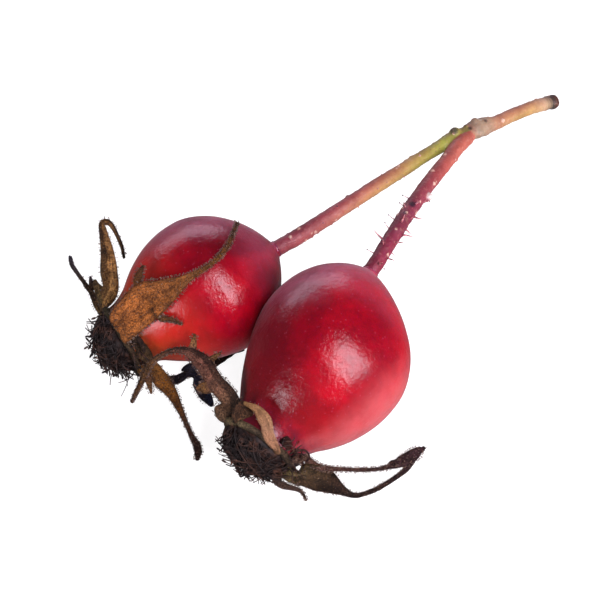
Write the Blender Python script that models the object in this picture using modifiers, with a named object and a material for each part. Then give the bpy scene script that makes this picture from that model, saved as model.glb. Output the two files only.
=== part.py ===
"""Rose hip sprig: two ripe hips on one forked stem, lying on their sides as picked.

Metres, +Z up; the sizes below are in millimetres. The origin is on the flat spot that the front hip rests
on. Each hip ends in a calyx of five withered sepals round a tuft of dried stamens.
"""

import math
import random

import bmesh
import bpy
from mathutils import Matrix, Vector
from mathutils.bvhtree import BVHTree

MM = 0.001

# Hips: place of the middle, length and diameter, heading and rise of the axis towards the stem, and the swell
# that bends the hip to one side, turned from its right-hand side upwards.
HIPS = {
    "front": {"middle": (-0.70, 0.55, 7.68), "length": 19.4, "diameter": 15.1, "heading": 56.1, "rise": 6.9,
              "fullest": 0.47, "rim": 0.46, "swell": 1.05, "swell_turn": -16.0},
    "rear": {"middle": (-11.28, 7.50, 6.38), "length": 16.3, "diameter": 13.45, "heading": 30.0, "rise": 7.3,
             "fullest": 0.43, "rim": 0.46, "swell": 0.35, "swell_turn": 156.0},
}
HIP_SIDES = 30
HIP_ROWS = 22
HIP_FIRST_ROW = 2           # the rows above it are inside the collar
HIP_SHOULDER = (1.7, 0.625) # powers of the round shoulder at the stem; (2, 0.5) would be an ellipse
HIP_NECK = 0.87             # share of the calyx half where the neck begins
SWELL_SKEW = 1.5            # moves the bend towards the calyx
COLLAR = (0.5, 0.84)        # height and radius of the collar where the stem joins
COLLAR_FOOT = (0.15, 0.92)  # and of its foot

# Stem: x, y, z and radius along each of its three lengths; a pedicel then runs on to its hip.
PEDUNCLE = (
    (23.2, 32.2, 0.74, 0.76), (22.6, 31.9, 0.98, 0.73), (22.0, 31.5, 1.28, 0.68), (20.6, 30.6, 2.0, 0.66),
    (18.4, 29.0, 3.0, 0.67), (16.9, 27.8, 3.7, 0.70), (15.9, 27.2, 4.1, 0.88), (15.2, 26.8, 4.4, 0.98),
    (14.2, 26.0, 4.75, 0.82), (13.6, 25.0, 5.0, 0.80),
)
PEDICELS = {
    "front": (
        (13.9, 25.5, 4.9, 0.80), (12.9, 24.0, 5.5, 0.76), (12.0, 22.5, 6.0, 0.70), (10.2, 19.2, 7.1, 0.69),
        (8.3, 15.3, 8.1, 0.70), (6.5, 12.0, 8.8, 0.72)),
    "rear": (
        (13.8, 25.8, 4.9, 0.76), (12.6, 25.4, 5.2, 0.72), (10.8, 24.1, 5.7, 0.62), (7.8, 21.5, 6.5, 0.66),
        (4.5, 18.1, 7.2, 0.69), (1.3, 15.5, 7.6, 0.70), (-1.8, 13.1, 7.8, 0.72)),
}
STEM_STEP = 0.9
STEM_SIDES = 10
LAST_BEND = (1.8, 0.75)     # height above a hip's collar, and radius, where a pedicel meets the hip's axis
SCARS = ((13.1, 25.9, 5.4, 0.60), (15.0, 25.9, 4.9, 0.50))

# Bristles on each pedicel: how many, the share of it that they cover, length.
BRISTLES = {"front": (34, (0.22, 0.93), 1.05), "rear": (14, (0.20, 0.90), 0.45)}
BRISTLE_RADIUS = 0.15
BRISTLE_ROOT = 0.15         # how far from the pedicel's middle line a bristle starts
GOLDEN_TURN = 137.5         # degrees from one bristle to the next

# Sepals: turn of the root round the rim, clockwise from the top as seen from outside, root width, then
# x, y, z and width along the midrib. A lobe is its place along the midrib, its side and its reach.
SEPAL_THICK = 0.6
SEPAL_STEP = 0.85
SEPAL_COLUMNS = 4
ROOT_SPAN = (-0.75, 0.55)   # where a root starts and ends, measured out from the rim
ROOT_LIFT = 0.6             # height of a root's middle surface above the calyx end
RUFFLE = 0.04               # waves of a blade, as a share of its width
RUFFLE_WAVES = (1.9, 2.4)   # their turn from row to row, and from the midrib to the edge
FACING = Vector((0.0, -0.45, 0.9))      # outer side of the blades away from their roots
FACING_SPAN = 0.33          # share of a blade over which it turns to that
SEPALS = {
    "front": (
        {"turn": 306, "root": 2.4, "cup": 0.16, "path": (
            (-8.6, -5.0, 9.4, 2.1), (-9.8, -3.3, 9.9, 1.7), (-10.6, -1.8, 10.0, 1.7), (-11.5, -0.7, 9.8, 1.5),
            (-12.7, 0.1, 9.4, 0.8), (-14.1, 0.3, 8.8, 0.5), (-15.4, -0.1, 8.0, 0.6), (-16.2, -0.7, 7.2, 0.9),
            (-16.7, -1.6, 6.4, 0.7), (-17.6, -3.4, 5.7, 0.3)),
         "lobes": ((0.84, -1, (0.4, -1.5, -0.6)), (0.50, 1, (0.2, 1.3, 0.5)))},
        {"turn": 16, "root": 3.0, "cup": -0.10, "path": (
            (-5.4, -8.4, 11.0, 2.7), (-5.8, -7.6, 11.6, 1.9), (-6.4, -6.8, 11.8, 1.1), (-7.2, -6.1, 11.6, 0.4))},
        {"turn": 76, "root": 1.0, "cup": 0.0, "path": (
            (-2.2, -9.0, 6.3, 0.8), (-0.4, -9.3, 4.6, 0.6), (1.8, -8.8, 3.0, 0.5), (4.1, -8.4, 2.0, 0.5),
            (5.9, -8.0, 1.7, 0.5), (7.4, -7.5, 2.0, 0.8), (8.4, -7.2, 2.8, 0.6), (8.9, -6.9, 3.4, 0.3))},
        {"turn": 120, "root": 1.4, "cup": 0.22, "path": (
            (-2.0, -9.5, 3.5, 1.9), (-0.8, -9.5, 2.5, 1.7), (0.4, -9.6, 1.5, 1.3), (1.6, -9.9, 0.8, 0.7),
            (2.9, -10.2, 0.4, 0.4), (4.7, -9.6, 0.4, 0.4), (6.5, -8.5, 0.5, 0.4), (7.7, -7.6, 0.9, 0.5),
            (8.5, -6.6, 1.3, 0.4), (9.3, -5.9, 1.7, 0.3))},
        {"turn": 160, "root": 1.4, "cup": 0.0, "path": (
            (-4.1, -9.9, 2.4, 0.7), (-3.2, -9.9, 1.6, 0.6), (-2.5, -9.9, 1.1, 0.5), (-2.0, -10.1, 0.8, 0.4),
            (-1.6, -10.8, 0.5, 0.3))},
    ),
    "rear": (
        {"turn": 8, "root": 3.2, "cup": -0.08, "path": (
            (-16.4, 4.0, 11.0, 3.8), (-15.1, 4.0, 12.3, 3.1), (-13.7, 4.4, 13.2, 2.0), (-12.3, 5.0, 13.9, 0.9),
            (-10.7, 5.8, 14.4, 0.5), (-9.6, 6.8, 14.4, 0.5), (-8.7, 8.3, 14.1, 0.5), (-8.2, 10.1, 13.4, 0.4),
            (-7.9, 11.9, 12.2, 0.3)),
         "lobes": ((0.26, -1, (0.6, 1.7, 0.4)), (0.30, 1, (2.2, -0.4, -0.6)))},
        {"turn": 286, "root": 1.6, "cup": 0.20, "path": (
            (-19.7, 7.4, 7.6, 1.2), (-19.8, 8.8, 8.5, 1.2), (-19.9, 10.2, 9.4, 0.9), (-20.2, 11.5, 10.1, 0.6),
            (-20.4, 12.8, 10.3, 0.5), (-19.8, 13.2, 9.6, 0.4), (-19.1, 12.2, 8.9, 0.4), (-18.7, 11.3, 8.4, 0.4),
            (-18.5, 10.3, 8.1, 0.3))},
        {"turn": 246, "root": 1.4, "cup": 0.0, "path": (
            (-21.1, 7.7, 3.9, 0.9), (-21.8, 9.2, 3.6, 0.6), (-22.4, 10.1, 3.5, 0.5), (-23.1, 11.2, 3.5, 0.4),
            (-23.7, 12.2, 3.5, 0.4), (-23.9, 13.2, 3.5, 0.3)),
         "lobes": ((0.55, 1, (-0.2, 1.3, 0.1)),)},
        {"turn": 92, "root": 1.6, "cup": 0.12, "path": (
            (-15.9, 0.5, 5.0, 1.8), (-15.2, -0.1, 4.4, 1.7), (-14.5, -0.7, 3.7, 1.4), (-13.9, -1.3, 2.9, 1.0),
            (-13.4, -2.1, 2.2, 0.7), (-12.9, -3.0, 1.5, 0.5), (-12.3, -4.2, 0.8, 0.5), (-11.7, -5.3, 0.4, 0.8),
            (-11.6, -6.0, 0.4, 0.7), (-11.7, -6.7, 0.4, 0.3))},
        {"turn": 140, "root": 1.4, "cup": 0.0, "path": (
            (-14.9, 0.9, 1.9, 0.9), (-13.7, 1.3, 1.1, 0.7), (-12.7, 2.0, 0.8, 0.7), (-11.8, 2.0, 0.5, 0.8),
            (-11.3, 0.7, 0.4, 1.0), (-10.8, -0.4, 0.4, 0.8), (-10.3, -1.1, 0.4, 0.4)),
         "lobes": ((0.60, -1, (2.0, 0.9, -0.1)),)},
    ),
}

# Tufts of dried stamens: how many filaments, reach beyond the core, radius at root and tip.
FILAMENTS = 56
FILAMENT_REACH = (1.3, 2.3)
FILAMENT_RADII = (0.24, 0.19, 0.10)
CORE_INSET = 1.1            # the core's edge lies this far inside the rim
CORE_HALF = 1.1
DROOP = Vector((-0.3, -0.3, -0.5))
CLEAR = 0.3                 # gap between one piece and the next
BLADE_CLEAR = 0.85          # distance of a sepal's middle surface from a hip's skin, measured from its axis

COLOURS = {
    "hip": (0.50, 0.004, 0.02), "stem": (0.42, 0.12, 0.09), "sepal": (0.13, 0.06, 0.03),
    "tuft": (0.03, 0.015, 0.012),
}


def clear_scene():
    for obj in list(bpy.data.objects):
        bpy.data.objects.remove(obj, do_unlink=True)
    for group in list(bpy.data.collections):
        bpy.data.collections.remove(group)


def new_collection(name):
    group = bpy.data.collections.new(name)
    bpy.context.scene.collection.children.link(group)
    return group


def material(name, colour, roughness):
    mat = bpy.data.materials.new(name)
    mat.use_nodes = True
    shader = mat.node_tree.nodes["Principled BSDF"]
    shader.inputs["Base Color"].default_value = (*colour, 1.0)
    shader.inputs["Roughness"].default_value = roughness
    shader.inputs["Metallic"].default_value = 0.0
    return mat


def new_object(name, mesh, group):
    obj = bpy.data.objects.new(name, mesh)
    group.objects.link(obj)
    return obj


def mesh_from(bm, name):
    bmesh.ops.recalc_face_normals(bm, faces=bm.faces)
    mesh = bpy.data.meshes.new(name)
    bm.to_mesh(mesh)
    bm.free()
    return mesh


def evaluated_mesh(obj):
    """The object's mesh with its modifiers applied, as a new mesh; the object is removed."""
    bpy.context.view_layer.update()
    graph = bpy.context.evaluated_depsgraph_get()
    mesh = bpy.data.meshes.new_from_object(obj.evaluated_get(graph))
    bpy.data.objects.remove(obj, do_unlink=True)
    return mesh


def through(points, step):
    """The Catmull-Rom curve through the points, sampled about every step; each point ends in its width."""
    knots = [Vector(p) for p in points]
    knots = [2 * knots[0] - knots[1]] + knots + [2 * knots[-1] - knots[-2]]
    curve = []
    for a, b, c, d in zip(knots, knots[1:], knots[2:], knots[3:]):
        count = max(1, round((c - b).to_3d().length / step))
        for i in range(count):
            t = i / count
            curve.append(0.5 * (2 * b + (c - a) * t + (2 * a - 5 * b + 4 * c - d) * t * t
                                + (3 * b - a - 3 * c + d) * t ** 3))
    curve.append(knots[-2])
    return curve


def tangents(curve):
    ends = [curve[0]] + list(curve) + [curve[-1]]
    return [(b - a).to_3d().normalized() for a, b in zip(ends, ends[2:])]


# Hips

def hip_frame(hip):
    """Matrix of a hip: Z along its axis to the stem, X to the side that swells, at its middle."""
    heading, rise, turn = (math.radians(hip[k]) for k in ("heading", "rise", "swell_turn"))
    axis = Vector((math.cos(heading) * math.cos(rise), math.sin(heading) * math.cos(rise), math.sin(rise)))
    right = Vector((math.sin(heading), -math.cos(heading), 0.0))
    up = right.cross(axis)
    side = right * math.cos(turn) + up * math.sin(turn)
    frame = Matrix((side, axis.cross(side), axis)).transposed().to_4x4()
    frame.translation = Vector(hip["middle"])
    return frame


def hip_radius(share, hip):
    """Radius as a share of the largest, at a share of the length from the stem end to the calyx."""
    if share < hip["fullest"]:
        inner, outer = HIP_SHOULDER
        return max(0.0, 1.0 - (1.0 - share / hip["fullest"]) ** inner) ** outer
    along = min(1.0, (share - hip["fullest"]) / (1.0 - hip["fullest"]) / HIP_NECK)
    return hip["rim"] + (1.0 - hip["rim"]) * (1.0 - along * along)


def hip_swell(share, hip):
    """Sideways bend of the axis at a share of the length."""
    return hip["swell"] * math.sin(math.pi * min(1.0, max(0.0, share)) ** SWELL_SKEW)


def keep_off(place, hip, gap):
    """The place, moved out to the gap from a hip: off its axis beside it, round its rim beyond the calyx end."""
    frame = hip_frame(hip)
    local = frame.inverted() @ place
    share = 0.5 - local.z / hip["length"]
    swell = hip_swell(share, hip)
    spoke = Vector((local.x - swell, local.y))
    skin = hip["diameter"] / 2 * hip_radius(share, hip)
    aside = (spoke.length - skin) / gap
    beyond = (share - 1.0) * hip["length"] / ROOT_LIFT
    if share <= 0.0 or aside >= 1.0 or beyond >= 1.0:
        return place
    if beyond <= 0.0:
        spoke *= (skin + gap) / spoke.length
        return frame @ Vector((spoke.x + swell, spoke.y, local.z))
    near = math.hypot(max(0.0, aside), beyond)
    if near >= 1.0:
        return place
    if aside > 0.0:
        spoke *= (skin + gap * aside / near) / spoke.length
    return frame @ Vector((spoke.x + swell, spoke.y, -hip["length"] / 2 - ROOT_LIFT * beyond / near))


def hip_profile(hip):
    """Points (radius, height) from the collar's middle down the outer side to the middle of the calyx end."""
    length, radius = hip["length"], hip["diameter"] / 2
    points = [(0.0, length / 2 + COLLAR[0])]
    points += [(wide, length / 2 + high) for high, wide in (COLLAR, COLLAR_FOOT)]
    for row in range(HIP_FIRST_ROW, HIP_ROWS + 1):
        share = 0.5 - 0.5 * math.cos(math.pi * row / HIP_ROWS)
        points.append((radius * hip_radius(share, hip), length * (0.5 - share)))
    points.append((0.0, -length / 2))
    return points


def make_hip(which, group, mat):
    hip = HIPS[which]
    bm = bmesh.new()
    ring = [bm.verts.new((r * MM, 0.0, h * MM)) for r, h in hip_profile(hip)]
    for a, b in zip(ring, ring[1:]):
        bm.edges.new((a, b))
    mesh = bpy.data.meshes.new("profile")
    bm.to_mesh(mesh)
    bm.free()
    turned = new_object("turned", mesh, group)
    screw = turned.modifiers.new("turn", "SCREW")
    screw.axis = "Z"
    screw.steps = screw.render_steps = HIP_SIDES
    screw.use_merge_vertices = True
    screw.merge_threshold = 0.000002
    mesh = evaluated_mesh(turned)
    for vert in mesh.vertices:
        vert.co.x += MM * hip_swell(0.5 - vert.co.z / MM / hip["length"], hip)
    frame = hip_frame(hip)
    if which == "rear":
        for vert in mesh.vertices:
            place = keep_off(frame @ (vert.co / MM), HIPS["front"], CLEAR)
            vert.co = frame.inverted() @ place * MM
    frame.translation *= MM
    obj = new_object("hip_" + which, mesh, group)
    obj.matrix_world = frame
    obj.data.materials.append(mat)
    obj.data.shade_smooth()
    return obj


# Stem

def tube(name, points, group):
    """A round tube through the points, closed at both ends."""
    curve = bpy.data.curves.new(name, "CURVE")
    curve.dimensions = "3D"
    curve.bevel_mode = "ROUND"
    curve.bevel_depth = MM
    curve.bevel_resolution = STEM_SIDES // 2 - 2
    curve.use_fill_caps = True
    path = through(points, STEM_STEP)
    spline = curve.splines.new("POLY")
    spline.points.add(len(path) - 1)
    for point, place in zip(spline.points, path):
        point.co = (*(place.to_3d() * MM), 1.0)
        point.radius = place[3]
    mesh = evaluated_mesh(new_object(name, curve, group))
    bm = bmesh.new()
    bm.from_mesh(mesh)
    bmesh.ops.remove_doubles(bm, verts=bm.verts, dist=0.000001)
    return new_object(name, mesh_from(bm, name), group)


def strand(name, points, radii, sides, group):
    """A thin tapering strand through the points: a disc extruded from point to point."""
    places = [Vector(p) for p in points]
    headings = tangents(places)
    bm = bmesh.new()
    bmesh.ops.create_circle(bm, cap_ends=True, segments=sides, radius=radii[0] * MM)
    turn = headings[0].to_track_quat("Z", "Y").to_matrix().to_4x4()
    bmesh.ops.transform(bm, matrix=Matrix.Translation(places[0] * MM) @ turn, verts=bm.verts)
    tip = bm.faces[:]
    for i in range(1, len(places)):
        drawn = bmesh.ops.extrude_face_region(bm, geom=tip)["geom"]
        if i > 1:
            bmesh.ops.delete(bm, geom=tip, context="FACES_ONLY")
        ends = [g for g in drawn if isinstance(g, bmesh.types.BMVert)]
        tip = [g for g in drawn if isinstance(g, bmesh.types.BMFace)]
        turn = headings[i - 1].rotation_difference(headings[i]).to_matrix().to_4x4()
        centre = Matrix.Translation(-places[i - 1] * MM)
        move = Matrix.Translation(places[i] * MM) @ turn @ Matrix.Scale(radii[i] / radii[i - 1], 4)
        bmesh.ops.transform(bm, matrix=move @ centre, verts=ends)
    return new_object(name, mesh_from(bm, name), group)


def unite(name, first, others):
    """One solid from the first object and a collection of others, which is emptied and removed."""
    union = first.modifiers.new("union", "BOOLEAN")
    union.operation = "UNION"
    union.operand_type = "COLLECTION"
    union.collection = others
    union.solver = "MANIFOLD"
    group = first.users_collection[0]
    mesh = evaluated_mesh(first)
    for obj in list(others.objects):
        bpy.data.objects.remove(obj, do_unlink=True)
    bpy.data.collections.remove(others)
    bm = bmesh.new()
    bm.from_mesh(mesh)
    bmesh.ops.triangulate(bm, faces=bm.faces)
    return new_object(name, mesh_from(bm, name), group)


def pedicel_path(which):
    """A pedicel's points, with the last two on the axis of its hip."""
    frame = hip_frame(HIPS[which])
    axis = frame.col[2].to_3d()
    foot = frame.translation + axis * (HIPS[which]["length"] / 2 + COLLAR[0] + CLEAR)
    high, wide = LAST_BEND
    return list(PEDICELS[which]) + [(*(foot + axis * high), wide), (*foot, COLLAR[1])]


def bristles(points, count, span, length, rng, group):
    """Bristles spread evenly along and round a pedicel, each rooted near its middle line."""
    path = through(points, BRISTLE_RADIUS)
    headings = tangents(path)
    for i in range(count):
        share = span[0] + (span[1] - span[0]) * (i + rng.random()) / count
        index = min(len(path) - 1, int(share * len(path)))
        place, along = path[index], headings[index]
        round_it = Matrix.Rotation(math.radians(GOLDEN_TURN * i + rng.uniform(-25, 25)), 3, along)
        out = round_it @ along.orthogonal().normalized()
        lean = (out + along * rng.uniform(-0.35, 0.25)).normalized()
        root = place.to_3d() + out * BRISTLE_ROOT
        reach = place[3] + length * rng.uniform(0.75, 1.15)
        strand(f"bristle_{i}", (root, root + lean * reach), (BRISTLE_RADIUS, BRISTLE_RADIUS * 0.5), 3, group)


def make_stem(group, mat):
    extras = new_collection("stem extras")
    first = tube("peduncle", PEDUNCLE, group)
    rng = random.Random(11)
    for which in PEDICELS:
        path = pedicel_path(which)
        tube(which + " pedicel", path, extras)
        bristles(path, *BRISTLES[which], rng, extras)
    for x, y, z, radius in SCARS:
        bm = bmesh.new()
        bmesh.ops.create_uvsphere(bm, u_segments=8, v_segments=6, radius=radius * MM)
        bmesh.ops.translate(bm, vec=Vector((x, y, z)) * MM, verts=bm.verts)
        new_object("scar", mesh_from(bm, "scar"), extras)
    obj = unite("stem", first, extras)
    obj.data.materials.append(mat)
    obj.data.set_sharp_from_angle(angle=math.radians(50))
    return obj


# Calyx

def calyx_frame(hip):
    """Middle of the calyx end and its outward, right and upward directions."""
    frame = hip_frame(hip)
    out = -frame.col[2].to_3d()
    heading = math.radians(hip["heading"])
    right = Vector((math.sin(heading), -math.cos(heading), 0.0))
    return frame.translation + out * hip["length"] / 2, out, right, out.cross(right)


def rim_direction(hip, turn):
    _, _, right, up = calyx_frame(hip)
    return up * math.cos(math.radians(turn)) + right * math.sin(math.radians(turn))


def sepal_path(hip, sepal):
    """The midrib: two root points on the rim, then the sepal's own points."""
    middle, out, _, _ = calyx_frame(hip)
    spoke = rim_direction(hip, sepal["turn"])
    rim = hip["rim"] * hip["diameter"] / 2
    roots = [middle + spoke * (rim + reach) + out * ROOT_LIFT for reach in ROOT_SPAN]
    return [(*root, sepal["root"]) for root in roots] + list(sepal["path"])


def make_sepal(name, which, sepal, group, mat):
    hip = HIPS[which]
    curve = through(sepal_path(hip, sepal), SEPAL_STEP)
    headings = tangents(curve)
    out = calyx_frame(hip)[1]
    rows = len(curve) - 1
    bm = bmesh.new()
    bmesh.ops.create_grid(bm, x_segments=SEPAL_COLUMNS, y_segments=rows, size=0.5)
    sides = {-1: {}, 1: {}}
    for vert in bm.verts:
        across, row = 2 * vert.co.x, round((vert.co.y + 0.5) * rows)
        blend = min(1.0, row / rows / FACING_SPAN)
        normal = out.lerp(FACING, blend).normalized()
        width = headings[row].cross(normal).normalized()
        normal = width.cross(headings[row])
        wide = curve[row][3]
        bow = sepal["cup"] * across ** 2 + RUFFLE * math.sin(RUFFLE_WAVES[0] * row + RUFFLE_WAVES[1] * across)
        lift = bow * wide * min(1.0, wide / 1.4) * blend
        vert.co = (curve[row].to_3d() + width * wide / 2 * across + normal * lift) * MM
        if abs(abs(across) - 1.0) < 1e-4:
            sides[1 if across > 0 else -1][row] = vert
    for share, side, reach in sepal.get("lobes", ()):
        row = round(share * rows)
        add_lobe(bm, sides[side][row], sides[side][row + 1], Vector(reach))
    for vert in bm.verts:
        for other in HIPS.values():
            vert.co = keep_off(vert.co / MM, other, BLADE_CLEAR) * MM
    bmesh.ops.triangulate(bm, faces=bm.faces)
    obj = new_object(name, mesh_from(bm, name), group)
    thick = obj.modifiers.new("thickness", "SOLIDIFY")
    thick.thickness = SEPAL_THICK * MM
    thick.offset = 0.0
    obj.data.materials.append(mat)
    return obj


def add_lobe(bm, first, second, reach):
    """A side lobe drawn out of the edge between two verts, narrowing to its tip."""
    edge = bm.edges.get((first, second))
    for narrow in (0.75, 0.5):
        geom = bmesh.ops.extrude_edge_only(bm, edges=[edge])["geom"]
        ends = [g for g in geom if isinstance(g, bmesh.types.BMVert)]
        edge = next(g for g in geom if isinstance(g, bmesh.types.BMEdge) and all(v in ends for v in g.verts))
        middle = (ends[0].co + ends[1].co) / 2
        for vert in ends:
            vert.co = middle + (vert.co - middle) * narrow + reach * MM / 2


def tree_of(obj):
    """A search tree over an object's evaluated mesh, in world space."""
    bpy.context.view_layer.update()
    graph = bpy.context.evaluated_depsgraph_get()
    bm = bmesh.new()
    bm.from_object(obj, graph)
    bmesh.ops.transform(bm, matrix=obj.matrix_world, verts=bm.verts)
    tree = BVHTree.FromBMesh(bm)
    bm.free()
    return tree


def is_clear(points, trees, gap):
    for a, b in zip(points, points[1:]):
        for t in (0.0, 0.25, 0.5, 0.75, 1.0):
            place = a.lerp(b, t) * MM
            if place.z < gap * MM or any(tree.find_nearest(place, gap * MM)[0] for tree in trees):
                return False
    return True


def make_tuft(which, neighbours, group, mat):
    """Dried stamens: filaments that stand out of a low core inside the ring of sepals."""
    hip = HIPS[which]
    middle, out, right, up = calyx_frame(hip)
    trees = [tree_of(obj) for obj in neighbours]
    heart = middle + out * (CLEAR + CORE_HALF)
    core = hip["rim"] * hip["diameter"] / 2 - CORE_INSET
    bm = bmesh.new()
    bmesh.ops.create_uvsphere(bm, u_segments=12, v_segments=8, radius=1.0)
    place = Matrix((right * core, up * core, out * CORE_HALF)).transposed().to_4x4()
    place.translation = heart
    bmesh.ops.transform(bm, matrix=Matrix.Scale(MM, 4) @ place, verts=bm.verts)
    first = new_object("core", mesh_from(bm, "core"), group)
    extras = new_collection("tuft extras")
    rng = random.Random(5 if which == "front" else 8)
    made = 0
    while made < FILAMENTS:
        turn = 2 * math.pi * (made * 0.618 + rng.uniform(-0.04, 0.04))
        splay = math.sqrt((made + rng.random()) / FILAMENTS)
        spoke = right * math.cos(turn) + up * math.sin(turn)
        stray = Vector([rng.uniform(-0.35, 0.35) for _ in range(3)])
        lean = (out * (1.05 - 0.75 * splay) + spoke * splay + stray).normalized()
        root = heart + (spoke * core * 0.7 * splay) + out * 0.1
        reach = rng.uniform(*FILAMENT_REACH)
        curl = (DROOP + stray) * reach * rng.uniform(0.2, 0.5)
        points = [root, root + lean * reach * 0.6, root + lean * reach + curl]
        if not is_clear(points, trees, CLEAR + FILAMENT_RADII[0]):
            continue
        strand(f"filament_{made}", points, FILAMENT_RADII, 3, extras)
        made += 1
    obj = unite("tuft_" + which, first, extras)
    obj.data.materials.append(mat)
    return obj


def make_floor_cutter(group):
    """What lies under z = 0, so that the hips rest on small flats."""
    bm = bmesh.new()
    bmesh.ops.create_cube(bm, size=0.1)
    bmesh.ops.translate(bm, vec=(0.0, 0.02, -0.05), verts=bm.verts)
    cutter = new_object("floor_cutter", mesh_from(bm, "floor_cutter"), group)
    cutter.hide_render = True
    cutter.display_type = "WIRE"
    return cutter


def rest_on_floor(obj, cutter):
    cut = obj.modifiers.new("rest", "BOOLEAN")
    cut.operation = "DIFFERENCE"
    cut.object = cutter
    cut.solver = "EXACT"


def main():
    clear_scene()
    group = new_collection("rose hip sprig")
    cutter = make_floor_cutter(new_collection("cutters"))
    hip_mat = material("hip skin", COLOURS["hip"], 0.32)
    stem_mat = material("stem bark", COLOURS["stem"], 0.55)
    sepal_mat = material("dry sepal", COLOURS["sepal"], 0.85)
    tuft_mat = material("dry stamens", COLOURS["tuft"], 0.9)
    make_stem(group, stem_mat)
    for which in HIPS:
        neighbours = [make_hip(which, group, hip_mat)]
        rest_on_floor(neighbours[0], cutter)
        for number, sepal in enumerate(SEPALS[which], start=1):
            name = f"sepal_{which}_{number}"
            neighbours.append(make_sepal(name, which, sepal, group, sepal_mat))
        make_tuft(which, neighbours, group, tuft_mat)


main()
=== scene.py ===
"""Rose hip sprig: the looks of its fruits, calyxes and stem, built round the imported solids.

Laid out as an add-on: one operator for each group of pieces, one for the stage. Sizes are in millimetres
apart from the properties, and each finished mesh is in metres with its place in its vertices.
"""

import math
import random

import bmesh
import bpy
from mathutils import Matrix, Vector, noise
from mathutils.kdtree import KDTree


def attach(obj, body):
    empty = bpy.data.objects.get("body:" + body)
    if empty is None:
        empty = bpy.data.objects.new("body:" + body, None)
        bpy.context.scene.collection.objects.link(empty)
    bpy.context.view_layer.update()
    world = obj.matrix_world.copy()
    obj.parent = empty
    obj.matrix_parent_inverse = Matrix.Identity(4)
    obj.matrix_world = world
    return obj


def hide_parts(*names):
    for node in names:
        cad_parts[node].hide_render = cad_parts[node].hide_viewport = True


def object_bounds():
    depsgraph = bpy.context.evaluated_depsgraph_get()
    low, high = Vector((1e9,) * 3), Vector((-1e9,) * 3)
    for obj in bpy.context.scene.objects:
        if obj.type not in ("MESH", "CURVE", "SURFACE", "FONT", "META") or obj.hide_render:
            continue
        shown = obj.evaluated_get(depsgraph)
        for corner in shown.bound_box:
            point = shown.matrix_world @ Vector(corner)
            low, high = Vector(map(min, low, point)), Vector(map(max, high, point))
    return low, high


bl_info = {
    "name": "Rose Hip Sprig",
    "version": (1, 0, 0),
    "blender": (4, 5, 0),
    "location": "View3D > Sidebar > Sprig",
    "description": "Dresses the packed solids of a rose hip sprig",
    "category": "Add Mesh",
}

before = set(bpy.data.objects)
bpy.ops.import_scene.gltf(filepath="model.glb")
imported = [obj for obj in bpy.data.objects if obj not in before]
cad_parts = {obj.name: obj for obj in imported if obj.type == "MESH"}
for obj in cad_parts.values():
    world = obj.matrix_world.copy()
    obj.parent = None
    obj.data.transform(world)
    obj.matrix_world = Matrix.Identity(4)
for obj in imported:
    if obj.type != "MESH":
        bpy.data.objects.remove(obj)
CAD_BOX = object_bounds()
MM = 0.001
SEEDS = {"stem": 23, "bristles": 11, "calyx front": 31, "calyx rear": 37, "tuft front": 5, "tuft rear": 8}
GOLDEN_TURN = 137.5

# The sprig as its solids are made. A hip: place of its middle, length and diameter, heading and rise of its
# axis towards the stem, and the swell that bends it, turned from its right-hand side upwards.
HIPS = {
    "front": {"middle": (-0.40, 0.44, 7.68), "length": 19.4, "diameter": 15.1, "heading": 56.1, "rise": 6.9,
              "fullest": 0.47, "rim": 0.46, "swell": 1.05, "swell_turn": -16},
    "rear": {"middle": (-11.28, 7.50, 6.38), "length": 16.3, "diameter": 13.45, "heading": 30, "rise": 7.3,
             "fullest": 0.43, "rim": 0.46, "swell": 0.35, "swell_turn": 156},
}
HIP_SHOULDER = (1.7, 0.625)
HIP_NECK = 0.87
SWELL_SKEW = 1.5

# The skin's own forms: rows from end to end, height and radius of the collar round the stem, height and
# spread of the lip round the calyx end.
HIP_ROWS = 96
COLLAR = (0.22, 0.80)
LIP = (0.01, 0.30)
TOUCH = 0.06
FILLET = 0.07
POLE_SHIFT = {"front": Vector((-0.75, -0.05, 0)), "rear": Vector((-0.20, 0.05, 0))}
POLE_SPREAD = 0.42
# Bulges: share of the length, direction, height and spread along the hip.
BULGES = {
    "front": ((0.20, Vector((-0.62, 0.78, 0)), 0.22, 0.22), (0.31, Vector((0.97, 0.24, 0)), 0.27, 0.17),
              (0.66, Vector((0.74, -0.67, 0)), -0.34, 0.20)),
    "rear": ((0.26, Vector((0.25, 0.97, 0)), 0.18, 0.22),),
}
# Sides of painted light on the hips: the upper side gets a painted sheen, the front hip's lower right a
# painted pink reflection, and each hip has a side of painted shade.
SHEEN_SIDE = Vector((-0.22, 0.86, 0.42))
REFLECTION_SIDE = Vector((0.70, -0.67, -0.25))
SHADOWED_SIDE = {"front": Vector((-0.95, 0.1, -0.1)), "rear": Vector((0.25, 0.8, -0.1))}

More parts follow.
